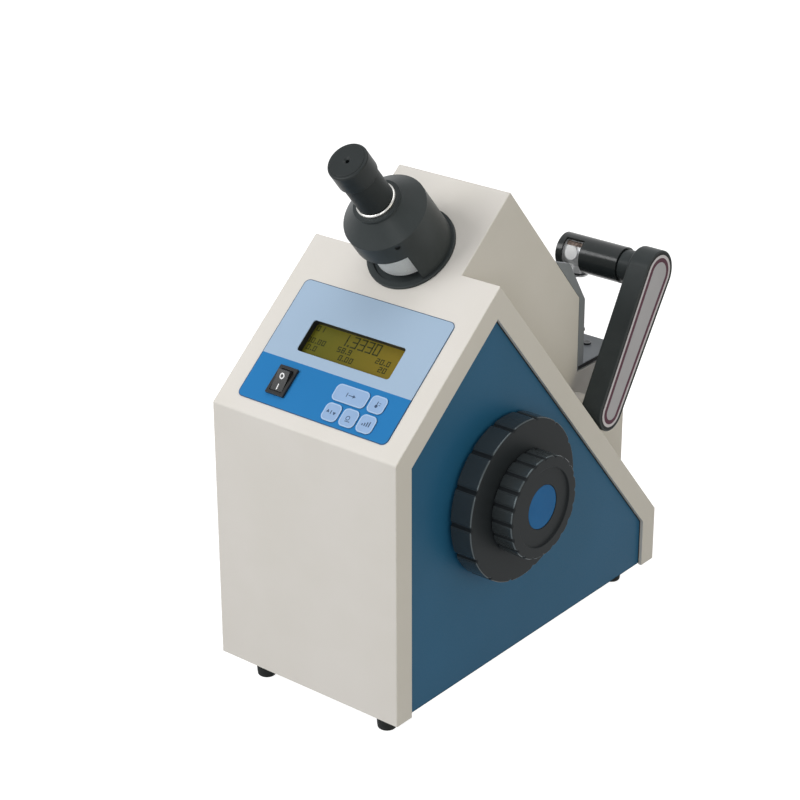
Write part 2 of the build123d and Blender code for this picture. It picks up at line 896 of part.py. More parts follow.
def mirror_frame():
    """On the mirror's shaft: x across, y up the mirror, z out of its face."""
    turn = Plane(
        origin=(0, shaft_y, shaft_z), x_dir=(1, 0, 0), z_dir=(0, mirror_normal[0], mirror_normal[1])
    )
    return turn.location


def make_mirror_shaft():
    length = encoder_x + encoder_radius / 6 + mirror_width / 2
    shaft = at_side(shaft_y, shaft_z, -mirror_width / 2) * disc(mirror_shaft_radius, length)
    seat = brick(mirror_width, mirror_length, mirror_shaft_radius + mirror_seat)
    return shaft + mirror_frame() * seat


def make_mirror():
    low = mirror_shaft_radius + mirror_seat
    return mirror_frame() * Pos(0, 0, low) * brick(mirror_width, mirror_length, mirror_thickness)


def make_encoder_disc():
    body = disc(encoder_radius, encoder_thickness)
    body += disc(encoder_hub_radius, 3 * encoder_thickness)
    reach = encoder_radius - encoder_slot_inset - encoder_slot_length / 2
    slot = Pos(reach, 0, -1) * brick(encoder_slot_length, encoder_slot_width, encoder_thickness + 2)
    body = body.cut(*[Rot(0, 0, 360 * n / encoder_slots) * slot for n in range(encoder_slots)])
    body -= Pos(0, 0, -1) * disc(mirror_shaft_radius, 4 * encoder_thickness + 1)
    return at_side(shaft_y, shaft_z, encoder_x) * body


def make_encoder_reader():
    """A slotted sensor over the disc's edge, on an arm from the optical plate."""
    low = plate_x + plate_thickness
    high = encoder_x + encoder_thickness + reader_gap + plate_thickness
    frame = at_side(shaft_y, shaft_z, low) * Rot(0, 0, reader_angle)
    place = Pos(encoder_radius, 0, 0)
    body = place * brick(reader_size, reader_size, high - low)
    gap = encoder_thickness + 2 * reader_gap
    slot = place * Pos(-reader_gap, 0, encoder_x - reader_gap - low)
    body -= slot * brick(reader_size, reader_size + 2, gap)
    return frame * body


# Gears
def involute(angle):
    return tan(angle) - angle


def tooth_half_angle(teeth, radius):
    """Half the angle that a tooth covers at a radius, in radians."""
    pitch = gear_module * teeth / 2
    base = pitch * cos(radians(pressure_angle))
    at_pitch = pi / (2 * teeth) - tooth_thinning / pitch
    slant = acos(min(1.0, base / radius))
    return at_pitch + involute(radians(pressure_angle)) - involute(slant)


def tooth_points(teeth, middle, steps=4):
    """One tooth's outline, root to tip and back to the root."""
    pitch = gear_module * teeth / 2
    root = pitch - tooth_root * gear_module
    tip = pitch + tooth_addendum * gear_module
    start = max(root + 0.05, pitch * cos(radians(pressure_angle)) + 0.01)
    radii = [start + (tip - start) * n / steps for n in range(steps + 1)]
    flank = [(root, tooth_half_angle(teeth, start))]
    flank += [(radius, tooth_half_angle(teeth, radius)) for radius in radii]
    rising = [(radius, middle - half) for radius, half in flank]
    falling = [(radius, middle + half) for radius, half in reversed(flank)]
    return [(radius * cos(angle), radius * sin(angle)) for radius, angle in rising + falling]


def make_pinion():
    """Centred so that a gap faces the sector's middle tooth."""
    pitch = 2 * pi / pinion_teeth
    start = radians(knob_bearing) + pi + pitch / 2
    points = []
    for n in range(pinion_teeth):
        points += tooth_points(pinion_teeth, start + n * pitch)
    width = gear_width + 2 * pinion_extra
    body = extrude(make_face(Polyline(*points, close=True)), amount=width)
    body -= Pos(0, 0, -1) * disc(coarse_shaft_radius, width + 2)
    return at_side(knob_y, knob_z, sector_x - width / 2) * body


def make_sector():
    """Part of a large gear on the mirror's shaft, joined to its hub by one arm."""
    pitch = 2 * pi / sector_teeth_full
    half = (sector_teeth_cut - 1) / 2
    points = []
    for n in range(sector_teeth_cut):
        points += tooth_points(sector_teeth_full, (n - half) * pitch)
    inner = sector_radius - sector_rim
    edge = (half + 0.5) * pitch
    for n in range(9):
        angle = edge - 2 * edge * n / 8
        points.append((inner * cos(angle), inner * sin(angle)))
    body = extrude(make_face(Polyline(*points, close=True)), amount=gear_width)
    arm = brick(inner + 2, sector_arm_width, gear_width, (Align.MIN, Align.CENTER, Align.MIN))
    body = body + arm + disc(sector_hub_radius, gear_width)
    body -= Pos(0, 0, -1) * disc(mirror_shaft_radius, gear_width + 2)
    place = at_side(shaft_y, shaft_z, sector_x - gear_width / 2)
    return place * Rot(0, 0, knob_bearing) * body


# Knobs
def grooved(radius, length, grooves, share):
    """A knob body with shallow grip grooves and a bevelled front edge."""
    edge = knob_edge
    half_chord = share * pi * radius / grooves
    cutter_radius = (half_chord**2 + groove_depth**2) / (2 * groove_depth)
    cutter = Pos(radius + cutter_radius - groove_depth, 0, -1) * disc(cutter_radius, length + 2)
    body = turned([(0, 0), (radius, 0), (radius, length - edge), (radius - edge, length), (0, length)])
    return body.cut(*[Rot(0, 0, 360 * n / grooves) * cutter for n in range(grooves)])


def hollow_back(body, radius, length):
    """Opens a knob from its back, but leaves its hub, its rim and its front."""
    return body - Pos(0, 0, -1) * ring(radius - knob_wall, knob_hub_radius, 0, length - knob_wall + 1)


def make_coarse_knob():
    body = grooved(coarse_radius, coarse_length, coarse_groove_count, coarse_groove_share)
    body = hollow_back(body, coarse_radius, coarse_length)
    body -= Pos(0, 0, -1) * disc(coarse_shaft_radius, coarse_length + 2)
    return at_side(knob_y, knob_z, coarse_back) * body


def make_coarse_shaft():
    low = plate_x - shaft_end_gap
    length = coarse_back + coarse_length - low
    shaft = disc(coarse_shaft_radius, length)
    shaft -= Pos(0, 0, -1) * disc(fine_shaft_radius + running_gap, length + 2)
    return at_side(knob_y, knob_z, low) * shaft


def make_fine_knob():
    body = grooved(fine_radius, fine_length, fine_groove_count, fine_groove_share)
    body = hollow_back(body, fine_radius, fine_length - knob_dish_depth)
    body -= Pos(0, 0, fine_length + 1) * disc(knob_dish_radius, knob_dish_depth + 1, TIP)
    floor = disc_height() - knob_disc_thickness
    body -= Pos(0, 0, floor) * disc(knob_disc_radius, fine_length)
    body -= Pos(0, 0, -1) * disc(fine_shaft_radius, floor)
    return at_side(knob_y, knob_z, fine_back) * body


def disc_height():
    """The blue disc's face above the back of the fine knob."""
    return fine_length - knob_dish_depth - knob_disc_sink


def make_fine_shaft():
    low = plate_x - 2 * shaft_end_gap
    length = fine_back + disc_height() - knob_disc_thickness - 1 - low
    return at_side(knob_y, knob_z, low) * disc(fine_shaft_radius, length)


def make_knob_disc():
    place = at_side(knob_y, knob_z, fine_back + disc_height())
    return place * disc(knob_disc_radius, knob_disc_thickness, TIP)


def make_knob_bush():
    high = panel_outside + bush_flange_thickness
    body = Pos(0, 0, high - bush_length) * disc(bush_radius, bush_length)
    body += Pos(0, 0, panel_outside) * disc(bush_flange_radius, bush_flange_thickness)
    body -= Pos(0, 0, high - bush_length - 1) * disc(coarse_shaft_radius + running_gap, bush_length + 2)
    return at_side(knob_y, knob_z, 0) * body


# Prism head
def shelf_screw_places():
    y = block_back + shelf_plate_length - shelf_screw_inset
    return [Pos(x, y, shelf_top) for x in (-shelf_screw_x, shelf_screw_x)]


def cheek_screw_places():
    x = half_block - cheek_screw_inset
    z = block_corner[1] - cheek_screw_drop
    y = block_back + cheek_depth
    return [Pos(x * way, y, z) * Rot(-90, 0, 0) for way in (-1, 1)]


def make_bracket_screw(place, head_radius):
    return place * (disc(head_radius, screw_head_height) + disc(screw_radius, screw_length, TIP))


def make_shelf_plate():
    """A plate on the shelf, stepped in below so that it shows a dark line."""
    length = shelf_plate_length
    middle = block_back + length / 2
    step = shelf_plate_step
    upper = brick(block_width, length, shelf_plate_thickness - step)
    lower = brick(block_width - 2 * shelf_plate_inset, length - 2 * shelf_plate_inset, step)
    body = Pos(0, middle, shelf_height + step) * upper + Pos(0, middle, shelf_height) * lower
    for place in shelf_screw_places():
        body -= place * disc(screw_radius, screw_length, TIP)
    return body


def make_prism_bracket():
    """An upright plate between two cheeks that carry on up the block's rear slope."""
    lean = tan(radians(cheek_top_lean)) * cheek_top_depth
    outer = rear_point(cheek_shoulder_drop, cheek_top_depth)
    upper = rear_point(cheek_shoulder_drop - lean, cheek_top_depth)
    foot = rear_point(cheek_top_drop, 0)
    elbow_y = block_back + cheek_depth
    slant = cheek_depth / c - cheek_depth * s / c
    cheek = [
        foot,
        upper,
        outer,
        (elbow_y, block_corner[1] - slant),
        (elbow_y, shelf_top),
        (block_back, shelf_top),
        block_corner,
    ]
    body = side_plate(cheek, half_block - cheek_width, half_block)
    body += side_plate(cheek, -half_block, cheek_width - half_block)
    height = block_corner[1] - slant - shelf_top
    plate = brick(block_width - 2 * cheek_width, bracket_thickness, height)
    body += Pos(0, block_back + bracket_thickness / 2, shelf_top) * plate
    body -= sample * disc(light_hole_radius, mirror_reach / 3, TIP)
    for place in cheek_screw_places():
        body -= place * disc(screw_radius, screw_length, TIP)
    return body


def rear_point(drop, out):
    """A point in y and z, down the upper block's rear slope and out from it."""
    return (ridge[0] + drop * s + out * c, ridge[1] - drop * c + out * s)


def sample_point(drop, out):
    return rear_point(mirror_reach + drop, out)


def prism_shape():
    half = prism_half_length
    points = [
        sample_point(-half, 0),
        sample_point(half, 0),
        sample_point(half - prism_taper, -prism_thickness),
        sample_point(prism_taper - half, -prism_thickness),
    ]
    return side_plate(points, -prism_half_width, prism_half_width)


def make_prism_box():
    """The block that holds the refracting prism in the corner of bracket and shelf."""
    upper = sample_point(-prism_box_half_length, 0)
    lower = sample_point(prism_box_half_length, 0)
    heel = sample_point(prism_box_half_length, -prism_box_lip)
    top_z = upper[1] - (upper[0] - bracket_back) * s / c
    points = [
        upper,
        lower,
        heel,
        (heel[0], shelf_top),
        (bracket_back, shelf_top),
        (bracket_back, top_z),
    ]
    half = prism_half_width + prism_box_wall
    body = side_plate(points, -half, half)
    body -= prism_shape()
    body -= sample * disc(light_hole_radius, mirror_reach / 3, TIP)
    for way in (-1, 1):
        middle = way * (half - hinge_eye_width / 2)
        body += hinge_lug(middle, hinge_eye_width)
    body -= hinge_rod(half + 1, hinge_pin_radius)
    return body


def hinge_rod(half_length, radius):
    """A rod along the hinge's axis, from the middle plane to both sides."""
    rod = Rot(0, 90, 0) * Cylinder(radius, 2 * half_length)
    return hinge * rod


def hinge_lug(middle, width):
    """An eye of the prism box, on a web from the box's lower end."""
    eye_piece = Rot(0, 90, 0) * Cylinder(hinge_eye_radius, width)
    web_low = -hinge_rise - prism_box_lip + 2.0
    length = hinge_eye_radius + hinge_drop - prism_box_half_length
    web = Pos(0, hinge_eye_radius, web_low) * Box(
        width, length, -web_low, align=(Align.CENTER, Align.MAX, Align.MIN)
    )
    return hinge * Pos(middle, 0, 0) * (eye_piece + web)


def make_hinge_pin():
    return hinge_rod(prism_half_width + prism_box_wall, hinge_pin_radius)


def make_cover_box():
    """The lid over the sample: a box round the upper prism, with a window for the lamp."""
    half = prism_half_width + prism_box_wall
    low = cover_clearance
    high = low + cover_thickness
    length = cover_top + cover_bottom
    body = Pos(0, (cover_bottom - cover_top) / 2, low) * brick(2 * half - 1, length, cover_thickness)
    body -= cover_prism_shape()
    body -= Pos(0, 0, low) * disc(cover_window_radius, cover_thickness + 1)
    eye_half = half - hinge_eye_width - turn_gap
    knuckle = Pos(0, hinge_drop, hinge_rise) * Rot(0, 90, 0) * Cylinder(hinge_eye_radius, 2 * eye_half)
    web_length = hinge_drop - cover_bottom + 1
    web = Pos(0, hinge_drop, hinge_rise) * Box(
        2 * eye_half, web_length, hinge_eye_radius, align=(Align.CENTER, Align.MAX, Align.MIN)
    )
    grip = Rot(0, 90, 0) * Cylinder(cover_grip_radius, 2 * (half - 0.5 + cover_grip_length))
    grips = Pos(0, -cover_top / 2, (low + high) / 2 + 1) * grip
    grips -= brick(2 * half - 2, 8 * cover_grip_radius, 2 * high)
    body = body + knuckle + web
    body -= Pos(0, hinge_drop, hinge_rise) * Rot(0, 90, 0) * Cylinder(
        hinge_pin_radius + running_gap, 2 * half
    )
    return sample * (body + grips)


def cover_prism_shape():
    half = prism_half_length
    low = cover_clearance
    return Pos(0, 0, low) * brick(2 * prism_half_width, 2 * half, cover_prism_thickness)


# Lamp and arm
def make_arm():
    outline = stadium(arm_pivot_radius, arm_head_radius, arm_length)
    body = extrude(outline, amount=arm_thickness)
    body = fillet(body.faces().sort_by(Axis.Z)[0].edges(), arm_inner_edge)
    body = fillet(body.faces().sort_by(Axis.Z)[-1].edges(), arm_edge)
    recess = extrude(stadium(inlay_pivot_radius, inlay_head_radius, arm_length), amount=inlay_depth + 1)
    body -= Pos(0, 0, arm_thickness - inlay_depth) * recess
    head = Pos(0, arm_length, 0)
    body += head * disc(lamp_boss_radius, lamp_boss_length, TIP)
    hole = lamp_boss_length + stud_depth
    body -= head * Pos(0, 0, -lamp_boss_length) * disc(lamp_spigot_radius + running_gap, hole)
    body -= disc(stud_radius + running_gap, stud_depth)
    return arm_frame * body


def make_arm_inlay():
    outline = stadium(inlay_pivot_radius - 0.1, inlay_head_radius - 0.1, arm_length)
    plate = extrude(outline, amount=inlay_thickness)
    return arm_frame * Pos(0, 0, arm_thickness - inlay_depth) * plate


def make_arm_stud():
    """A boss on the casing's side with the pin that the arm turns on and a nut inside."""
    place = at_side(pivot_y, pivot_z, half_block)
    reach = arm_inside - half_block
    body = disc(stud_boss_radius, reach - turn_gap)
    body += disc(stud_radius, reach + stud_depth - 1)
    body += disc(stud_radius, wall + stud_nut_thickness, TIP)
    body += Pos(0, 0, -wall) * disc(stud_nut_radius, stud_nut_thickness, TIP)
    return place * body


def window_sector(reach, x0, x1):
    """A sector of a disc about the lamp's axis, between the window's two edges."""
    start = 180 - lamp_window_up
    sweep = lamp_window_up + lamp_window_down
    arc = CenterArc((0, 0), reach, start, sweep)
    face = make_face([Line((0, 0), arc @ 0), arc, Line(arc @ 1, (0, 0))])
    return Pos(0, 0, x0) * extrude(face, amount=x1 - x0)


def make_lamp_tube():
    """A closed tube with a window near its left end and a spigot that turns in the arm."""
    inner = lamp_tube_radius - lamp_tube_wall
    body = Pos(0, 0, lamp_tube_left) * disc(lamp_tube_radius, tube_right - lamp_tube_left)
    bore_low = lamp_tube_left + lamp_tube_cap
    body -= Pos(0, 0, bore_low) * disc(inner, tube_right - lamp_tube_wall - bore_low)
    body += Pos(0, 0, tube_right) * disc(lamp_spigot_radius, arm_inside + stud_depth - 1 - tube_right)
    body -= window_sector(lamp_tube_radius + 1, lamp_window_left, lamp_window_right)
    return lamp_frame * body


def toward(angle):
    """At the lamp's axis, with z pointing at an angle above the forward direction."""
    turn = radians(angle)
    return Plane(origin=(0, 0, 0), x_dir=(0, 0, 1), z_dir=(-cos(turn), sin(turn), 0)).location


def lamp_middle():
    return (lamp_window_left + lamp_window_right) / 2


def make_lens_holder():
    """A bright core in the window: a round boss in front and the lens barrel below."""
    inner = lamp_tube_radius - lamp_tube_wall
    low = lamp_tube_left + lamp_tube_cap
    high = lamp_window_right + holder_plate
    body = Pos(0, 0, low) * disc(holder_radius, high - low)
    body += Pos(0, 0, low) * disc(inner, holder_plate)
    body += Pos(0, 0, high - holder_plate / 2) * disc(inner, holder_plate)
    middle = Pos(0, 0, lamp_middle())
    body += middle * toward(holder_boss_angle) * disc(holder_boss_radius, holder_boss_reach)
    body += middle * toward(-90) * disc(lens_barrel_radius, lens_ring_reach)
    return lamp_frame * body


def make_condenser_lens():
    """A domed lens on the end of the barrel."""
    height = lens_reach - lens_ring_reach
    ball = (lens_radius**2 + height**2) / (2 * height)
    dome = Pos(0, 0, height - ball) * Sphere(ball) & disc(lens_radius + 1, height)
    return lamp_frame * Pos(0, 0, lamp_middle()) * toward(-90) * Pos(0, 0, lens_ring_reach) * dome


def make_lamp_cell():
    low = lamp_window_right + 1.5 * holder_plate
    body = disc(lamp_cell_radius, lamp_cell_length)
    body += disc(lamp_tube_radius - lamp_tube_wall, holder_plate)
    return lamp_frame * Pos(0, 0, low) * body


# Electrics
def board_holes():
    inset = board_hole_inset
    left = board_left + inset
    right = board_left + board_width - inset
    front = board_front + inset
    rear = board_front + board_depth - inset
    return [Pos(x, y, base_top) for x in (left, right) for y in (front, rear)]


def make_standoff(place):
    return place * disc(standoff_radius, standoff_height)


def make_main_board():
    top = base_top + standoff_height
    corner = Pos(board_left, board_front, top)
    low = (Align.MIN, Align.MIN, Align.MIN)
    body = corner * Box(board_width, board_depth, board_thickness, align=low)
    chip = Box(board_width / 4, board_depth / 8, chip_height, align=low)
    for n in range(3):
        shift = Pos(board_width / 4, board_depth * (0.15 + 0.25 * n), board_thickness)
        body += corner * shift * chip
    return body


def make_transformer():
    """A laminated core with two windows and the coil round its middle limb."""
    place = Pos(transformer_x, transformer_y, base_top)
    window_width = core_width / 2 - 1.5 * core_limb
    window_height = core_height - 2 * core_limb
    core = brick(core_width, core_depth, core_height)
    for way in (-1, 1):
        middle = way * (core_limb / 2 + window_width / 2)
        core -= Pos(middle, 0, core_limb) * brick(window_width, core_depth + 2, window_height)
    coil = brick(core_limb + 2 * (window_width - coil_gap), core_depth + 2 * coil_build, window_height)
    coil -= brick(core_limb, core_depth, window_height)
    return group([place * core, place * Pos(0, 0, core_limb) * coil])


def make_mains_inlet():
    """A three-pin appliance inlet with a fuse drawer's space in its flange."""
    body = brick(inlet_flange_width, inlet_flange_height, socket_flange)
    body += brick(inlet_width, inlet_height, inlet_depth, TIP)
    width = inlet_width - 2 * inlet_wall
    height = inlet_height - 2 * inlet_wall
    body -= Pos(0, 0, socket_flange) * brick(width, height, inlet_cavity, TIP)
    floor = socket_flange - inlet_cavity
    for x, y in ((-inlet_pin_spacing, -2), (0, 2), (inlet_pin_spacing, -2)):
        body += Pos(x, y, floor) * brick(2, 4, inlet_pin_length)
    return back * Pos(-inlet_x, socket_z, 0) * body


def make_data_port():
    body = brick(port_flange_width, port_flange_height, socket_flange / 2)
    body += brick(port_width - 0.4, port_height - 0.4, port_depth, TIP)
    half_x, half_z = port_width / 2, port_height / 2
    body += slab(-half_x, half_x, -half_z, half_z, port_corner, 0, port_reach)
    for way in (-1, 1):
        post = RegularPolygon(port_post_radius, 6)
        body += Pos(way * port_post_spacing / 2, 0, 0) * extrude(post, amount=port_reach)
    return back * Pos(-port_x, socket_z, 0) * body


def make_parts():
    parts = {
        "main_casing": make_casing(),
        "right_side_panel": make_side_panel(1),
        "left_side_panel": make_side_panel(-1),
        "base_plate": make_base_plate(),
        "rubber_feet": group(place * make_foot() for place in foot_places()),
        "control_overlay": make_overlay(),
        "display_bezel": make_bezel(),
        "display_glass": make_display_glass(),
        "display_module": make_display_module(),
        "key_board": make_key_board(),
        "power_rocker": make_rocker(),
        "switch_housing": make_switch_housing(),
        "eyepiece_flange": make_eyepiece_flange(),
        "eyepiece_hood": make_eyepiece_hood(),
        "lock_ring": make_lock_ring(),
        "dispersion_drum": make_drum(),
        "telescope_tube": make_telescope(),
        "objective_lens": make_objective(),
        "eyepiece_barrel": make_eyepiece_barrel(),
        "eyepiece_cap": make_eyepiece_cap(),
        "eyepiece_lenses": make_eyepiece_lenses(),
        "optical_plate": make_optical_plate(),
        "telescope_clamps": group(make_telescope_clamp(place) for place in clamp_places),
        "mirror_shaft": make_mirror_shaft(),
        "turning_mirror": make_mirror(),
        "mirror_sector": make_sector(),
        "encoder_disc": make_encoder_disc(),
        "encoder_reader": make_encoder_reader(),
        "drive_pinion": make_pinion(),
        "coarse_knob": make_coarse_knob(),
        "coarse_shaft": make_coarse_shaft(),
        "fine_knob": make_fine_knob(),
        "fine_shaft": make_fine_shaft(),
        "knob_disc": make_knob_disc(),
        "knob_bush": make_knob_bush(),
        "shelf_plate": make_shelf_plate(),
        "prism_bracket": make_prism_bracket(),
        "refracting_prism_box": make_prism_box(),
        "refracting_prism": prism_shape(),
        "prism_hinge_pin": make_hinge_pin(),
        "illuminating_prism_box": make_cover_box(),
        "illuminating_prism": sample * cover_prism_shape(),
        "arm_stud": make_arm_stud(),
        "lamp_arm": make_arm(),
        "arm_inlay": make_arm_inlay(),
        "lamp_tube": make_lamp_tube(),
        "lens_holder": make_lens_holder(),
        "condenser_lens": make_condenser_lens(),
        "lamp_cell": make_lamp_cell(),
        "main_board": make_main_board(),
        "board_standoffs": group(make_standoff(place) for place in board_holes()),
        "transformer": make_transformer(),
        "mains_inlet": make_mains_inlet(),
        "data_port": make_data_port(),
    }
    screws = [place * make_foot_screw() for place in foot_places()]
    screws += [make_bracket_screw(place, screw_head_radius) for place in shelf_screw_places()]
    screws += [make_bracket_screw(place, cheek_screw_head_radius) for place in cheek_screw_places()]
    parts["screws"] = group(screws + [make_hood_screw()])
    for name, left, right, lower, upper in keys:
        parts[name] = make_key(left, right, lower, upper)
    return parts


os.makedirs("parts", exist_ok=True)
for node, shape in make_parts().items():
    export_step(to_bench * shape, f"parts/{node}.step")
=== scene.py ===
import json
from math import asin, cos, pi, radians, sin

import bmesh
import bpy
import numpy as np
from mathutils import Matrix, Vector


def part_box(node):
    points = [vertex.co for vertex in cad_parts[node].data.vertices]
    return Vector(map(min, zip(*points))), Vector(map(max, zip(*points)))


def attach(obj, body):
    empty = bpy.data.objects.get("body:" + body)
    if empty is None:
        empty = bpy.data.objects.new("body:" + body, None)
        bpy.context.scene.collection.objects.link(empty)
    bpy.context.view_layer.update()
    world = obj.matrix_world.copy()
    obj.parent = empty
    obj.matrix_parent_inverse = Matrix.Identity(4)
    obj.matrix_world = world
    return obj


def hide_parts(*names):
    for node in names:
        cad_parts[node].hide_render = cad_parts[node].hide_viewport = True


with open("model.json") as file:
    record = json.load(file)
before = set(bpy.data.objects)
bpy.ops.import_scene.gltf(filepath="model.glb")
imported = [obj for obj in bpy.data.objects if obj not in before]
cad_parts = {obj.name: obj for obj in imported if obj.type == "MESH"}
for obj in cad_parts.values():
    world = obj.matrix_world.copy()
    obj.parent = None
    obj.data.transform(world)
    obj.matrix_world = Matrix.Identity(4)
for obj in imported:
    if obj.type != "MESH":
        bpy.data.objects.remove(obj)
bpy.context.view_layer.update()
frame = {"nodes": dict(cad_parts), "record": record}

# Bench digital refractometer: the looks of each piece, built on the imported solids.
# Sizes here are in millimetres in the casing's own axes: x from the middle plane to the right,
# y from the front face to the back, z up from the casing's bottom edge. The row's origin is on
# the bench, midway between the feet, and Blender works in metres.
HALF_LENGTH = 173.1
FOOT_DROP = 20.7
MILLIMETRE = 0.001

# The control slope rises from the top of the front face. C and S are its cosine and sine.
FRONT_HEIGHT = 218.25
SLOPE = radians(39.7)
C, S = cos(SLOPE), sin(SLOPE)
EYEPIECE_UP_SLOPE = 167.5
# The lamp's arm leans back from upright by these degrees. Its length is between its two axes,
# and its inner face lies at this x.
ARM_LEAN = 31.4
ARM_LENGTH = 117.6
ARM_INSIDE = 70.0


def joint_place(name):
    """A joint's y and z in the casing's millimetres, from the frame's record."""
    joints = frame["record"]["behaviour"]["joints"]
    x, y, z = next(joint["pos_m"] for joint in joints if joint["name"] == name)
    return y / MILLIMETRE + HALF_LENGTH, z / MILLIMETRE - FOOT_DROP


def body_of(name):
    """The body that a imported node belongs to."""
    bodies = frame["record"]["behaviour"]["bodies"]
    return next(body for body, members in bodies.items() if name in members)


# Places: each is a matrix from a local frame in millimetres to the row in metres.
def place(x_axis, z_axis, x, y, z):
    """Local x and z point as given, and y completes the right hand."""
    x_axis, z_axis = np.array(x_axis, float), np.array(z_axis, float)
    m = np.eye(4)
    m[:3, 0], m[:3, 1], m[:3, 2] = x_axis, np.cross(z_axis, x_axis), z_axis
    m[:3, 3] = (x, y - HALF_LENGTH, z + FOOT_DROP)
    m[:3] *= MILLIMETRE
    return m


def sideways(x, y, z):
    """Local x runs to the back, y up and z to the right."""
    return place((0, 1, 0), (1, 0, 0), x, y, z)


def shifted(m, x=0.0, y=0.0, z=0.0):
    """The same place moved along its own axes."""
    out = m.copy()
    out[:3, 3] += m[:3, :3] @ (x, y, z)
    return out


def spun(m, degrees):
    """The same place turned about its own z axis."""
    t = radians(degrees)
    turn = np.eye(4)
    turn[:2, :2] = [[cos(t), -sin(t)], [sin(t), cos(t)]]
    return m @ turn


CASING = place((1, 0, 0), (0, 0, 1), 0, 0, 0)
ON_SLOPE = place((1, 0, 0), (0, -S, C), 0, 0, FRONT_HEIGHT)
EYE = shifted(ON_SLOPE, y=EYEPIECE_UP_SLOPE)
KNOB = sideways(0, *joint_place("coarse_turn"))
ARM = spun(sideways(ARM_INSIDE, *joint_place("arm_swing")), -ARM_LEAN)
LAMP = sideways(0, *joint_place("lamp_turn"))


# Surfaces
def unit(v):
    """Each vector divided by its own length."""
    return v / np.linalg.norm(v, axis=-1, keepdims=True)


def rounded(corners, radius, steps=5, closed=True):
    """Each corner becomes an arc tangent to both its sides: the arc's points are its centre plus
    the slerp of the two radii that meet the sides. An open path keeps its two ends."""
    p = np.array(corners, float)
    r = np.broadcast_to(np.asarray(radius, float), len(p)).copy()
    if closed:
        before, here, after = np.roll(p, 1, 0), p, np.roll(p, -1, 0)
    else:
        before, here, after, r = p[:-2], p[1:-1], p[2:], r[1:-1]
    u, v = unit(before - here), unit(after - here)
    half = np.arccos(np.clip((u * v).sum(1), -1, 1)) / 2
    centre = here + unit(u + v) * (r / np.sin(half))[:, None]
    start = (here + u * (r / np.tan(half))[:, None] - centre)[:, None]
    end = (here + v * (r / np.tan(half))[:, None] - centre)[:, None]
    angle = (pi - 2 * half)[:, None, None]
    t = np.linspace(0, 1, steps + 1)[None, :, None]
    arc = (np.sin((1 - t) * angle) * start + np.sin(t * angle) * end) / np.sin(angle)
    points = (centre[:, None] + arc).reshape(-1, 2)
    return points if closed else np.vstack([p[:1], points, p[-1:]])


def circle(radius, count):
    """Points (radius cos t, radius sin t) at even steps of t."""
    t = np.arange(count) * 2 * pi / count
    return np.stack([radius * np.cos(t), radius * np.sin(t)], 1)


def box_outline(left, right, lower, upper, corner, steps=5):
    """A rectangle with round corners."""
    return rounded([(left, lower), (right, lower), (right, upper), (left, upper)], corner, steps)


def stadium(radius_a, radius_b, length, count=40):
    """Two arcs joined by their outer tangents: round (0, 0) with the first radius and round
    (0, length) with the second."""
    lean = asin((radius_a - radius_b) / length)
    top = np.linspace(lean, pi - lean, count)
    low = np.linspace(pi - lean, 2 * pi + lean, count)
    upper = np.stack([radius_b * np.cos(top), length + radius_b * np.sin(top)], 1)
    lower = np.stack([radius_a * np.cos(low), radius_a * np.sin(low)], 1)
    return np.vstack([upper, lower])


def quads(grid, loop=False, capped=True):
    """Vertices and faces of a grid whose rows are closed rings. loop joins the last ring to the
    first; otherwise a face closes each end."""
    rings, count = grid.shape[:2]
    index = np.arange(rings * count).reshape(rings, count)
    here = index if loop else index[:-1]
    there = np.roll(index, -1, 0) if loop else index[1:]
    faces = np.stack([here, np.roll(here, -1, 1), np.roll(there, -1, 1), there], -1)
    faces = faces.reshape(-1, 4).tolist()
    if capped and not loop:
        faces += [index[0][::-1].tolist(), index[-1].tolist()]
    return grid.reshape(-1, 3), faces


def turned(profile, count=96, loop=False):
    """Lathe: the profile's point (radius, height) goes round z as
    (radius cos t, radius sin t, height)."""
    profile = np.array(profile, float)
    grid = np.zeros((len(profile), count, 3))
    grid[..., :2] = profile[:, 0, None, None] * circle(1.0, count)[None]
    grid[..., 2] = profile[:, 1, None]
    return quads(grid, loop, capped=False)


def carried(outline, profile):
    """A plate or cap: a point of the outline moves inwards along its normal by the profile's
    inset, up to the profile's height."""
    outline, profile = np.array(outline, float), np.array(profile, float)
    along = unit(np.roll(outline, -1, 0) - np.roll(outline, 1, 0))
    outward = np.stack([along[:, 1], -along[:, 0]], 1)
    grid = np.zeros((len(profile), len(outline), 3))
    grid[..., :2] = outline[None] - profile[:, 0, None, None] * outward[None]
    grid[..., 2] = profile[:, 1, None]
    return quads(grid)


def soft_edge(low, high, edge, foot=0.0, steps=4):
    """Profile for carried: quarter circles of the given radii at the top and at the foot."""
    t = np.linspace(0, pi / 2, steps + 1)
    top = np.stack([edge * (1 - np.cos(t)), high - edge + edge * np.sin(t)], 1)
    if foot == 0:
        return np.vstack([[(0, low)], top])
    base = np.stack([foot * (1 - np.sin(t)), low + foot - foot * np.cos(t)], 1)
    return np.vstack([base, top])


def band(outer, inner, low, high):
    """A flat frame between two outlines with as many points each, as one closed loop of rings."""
    corners = ((outer, low), (outer, high), (inner, high), (inner, low))
    grid = np.zeros((len(corners), len(outer), 3))
    for row, (outline, height) in zip(grid, corners):
        row[:, :2], row[:, 2] = outline, height
    return quads(grid, loop=True)


